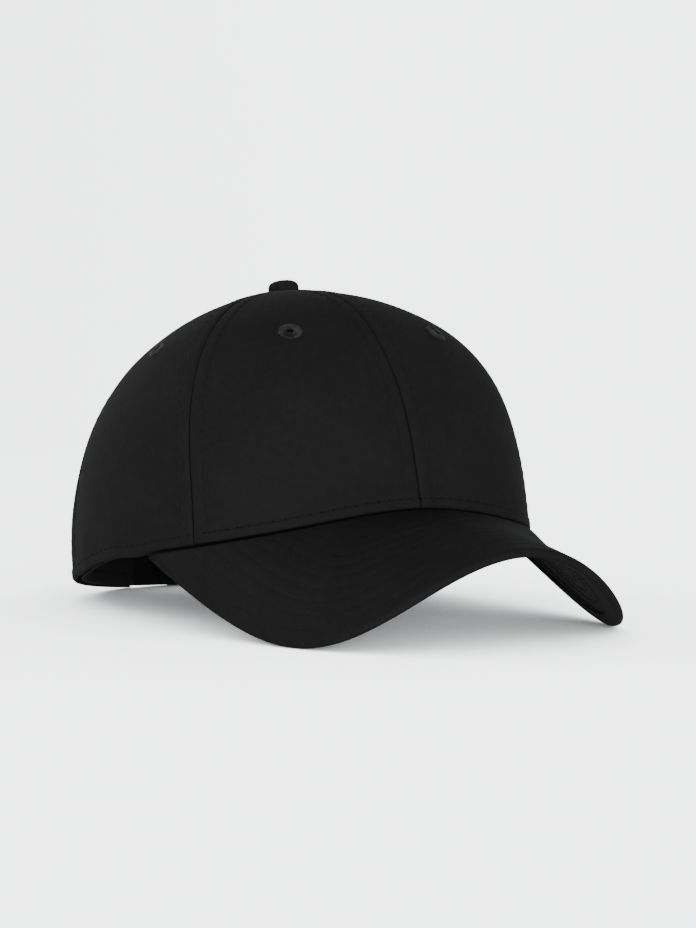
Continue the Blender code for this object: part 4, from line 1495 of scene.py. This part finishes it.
def add_light(name, azimuth, elevation, power, distance=2.4, size=(1.4, 0.7)):
    """A soft box aimed at the cap: azimuth is counted from the camera, to its right."""
    data = bpy.data.lights.new(name, "AREA")
    data.shape = "RECTANGLE"
    data.size, data.size_y = size
    data.energy = power
    light = bpy.data.objects.new(name, data)
    way = view_way(CAMERA_AZIMUTH + math.radians(azimuth), math.radians(elevation))
    light.location = Vector(AIM) + way * distance
    light.rotation_euler = way.to_track_quat("Z", "Y").to_euler()
    bpy.context.scene.collection.objects.link(light)


def add_lights():
    world = bpy.data.worlds.new("studio")
    world.use_nodes = True
    tree = world.node_tree
    seen = tree.nodes.new("ShaderNodeLightPath").outputs["Is Camera Ray"]
    strength = tree.nodes.new("ShaderNodeMapRange")
    tree.links.new(seen, strength.inputs[0])
    strength.inputs[3].default_value = 0.32
    strength.inputs[4].default_value = 4.2
    tree.links.new(strength.outputs[0], tree.nodes["Background"].inputs[1])
    tree.nodes["Background"].inputs[0].default_value = (0.99, 1.0, 1.0, 1.0)
    bpy.context.scene.world = world
    add_light("key_softbox", 13, 9, 96)
    add_light("left_softbox", -30, 10, 12)
    add_light("side_softbox", -110, 30, 27)


def add_camera():
    data = bpy.data.cameras.new("camera")
    data.lens = LENS
    data.sensor_width = SENSOR
    data.sensor_fit = "AUTO"
    data.clip_start = 0.01
    camera = bpy.data.objects.new("camera", data)
    back = view_way(CAMERA_AZIMUTH, CAMERA_ELEVATION)
    right = Vector((math.cos(CAMERA_AZIMUTH), math.sin(CAMERA_AZIMUTH), 0))
    level = Matrix((right, back.cross(right), back)).transposed().to_4x4()
    roll = Matrix.Rotation(-CAMERA_ROLL, 4, "Z")
    camera.matrix_world = Matrix.Translation(Vector(AIM) + back * CAMERA_DISTANCE) @ level @ roll
    bpy.context.scene.collection.objects.link(camera)
    bpy.context.scene.camera = camera


def declare_cloth():
    """Read every cloth piece's weave, that it was cut along, in metres, and its faces' areas; nothing further
    is done with them.
    """
    for name, (held, beneath) in CLOTH.items():
        piece = bpy.data.objects[name]
        mesh = piece.data
        places = np.zeros(len(mesh.loops) * 2)
        mesh.uv_layers["weave"].data.foreach_get("uv", places)
        places = places.reshape(-1, 2) * MM
        faces = np.zeros(len(mesh.polygons))
        mesh.polygons.foreach_get("area", faces)


CLOTH = {
    f"{place}_panel_{side}_cloth": ("stretched", ["sweatband_cloth"])
    for place in ("front", "side", "back")
    for side in ("left", "right")
}
for side in ("left", "right"):
    CLOTH[f"front_buckram_{side}_gauze"] = ("stretched", [f"front_panel_{side}_cloth"])
CLOTH |= {name + "_woven": ("laid", ["front_panel_left_cloth"]) for name, step, depth in TAPES}
CLOTH |= {
    "arch_binding_tape": ("folded", ["back_panel_left_cloth", "back_panel_right_cloth"]),
    "sweatband_cloth": ("folded", ["front_panel_left_cloth", "front_panel_right_cloth"]),
    "care_label_woven": ("hung", ["sweatband_cloth"]),
    "visor_cover_cloth": ("stretched", ["visor_board_plastic"]),
    "visor_lining_cloth": ("stretched", ["visor_board_plastic"]),
    "hook_strap_cloth": ("laid", ["back_panel_right_cloth", "loop_tape_nylon"]),
    "loop_strap_cloth": ("laid", ["back_panel_left_cloth"]),
    "hook_tape_nylon": ("laid", ["hook_strap_cloth"]),
    "loop_tape_nylon": ("laid", ["loop_strap_cloth"]),
}

add_camera()
add_panels()
add_buckram()
add_seam_tapes()
add_seam_stitching()
add_hem_stitching()
add_arch_stitching()
add_arch_binding()
add_eyelets()
add_button()
add_sweatband()
add_care_label()
add_visor_cover()
add_visor_lining()
add_visor_board()
add_visor_stitching()
add_closure()
dress_cad_nodes()
add_stage()
add_lights()
declare_cloth()
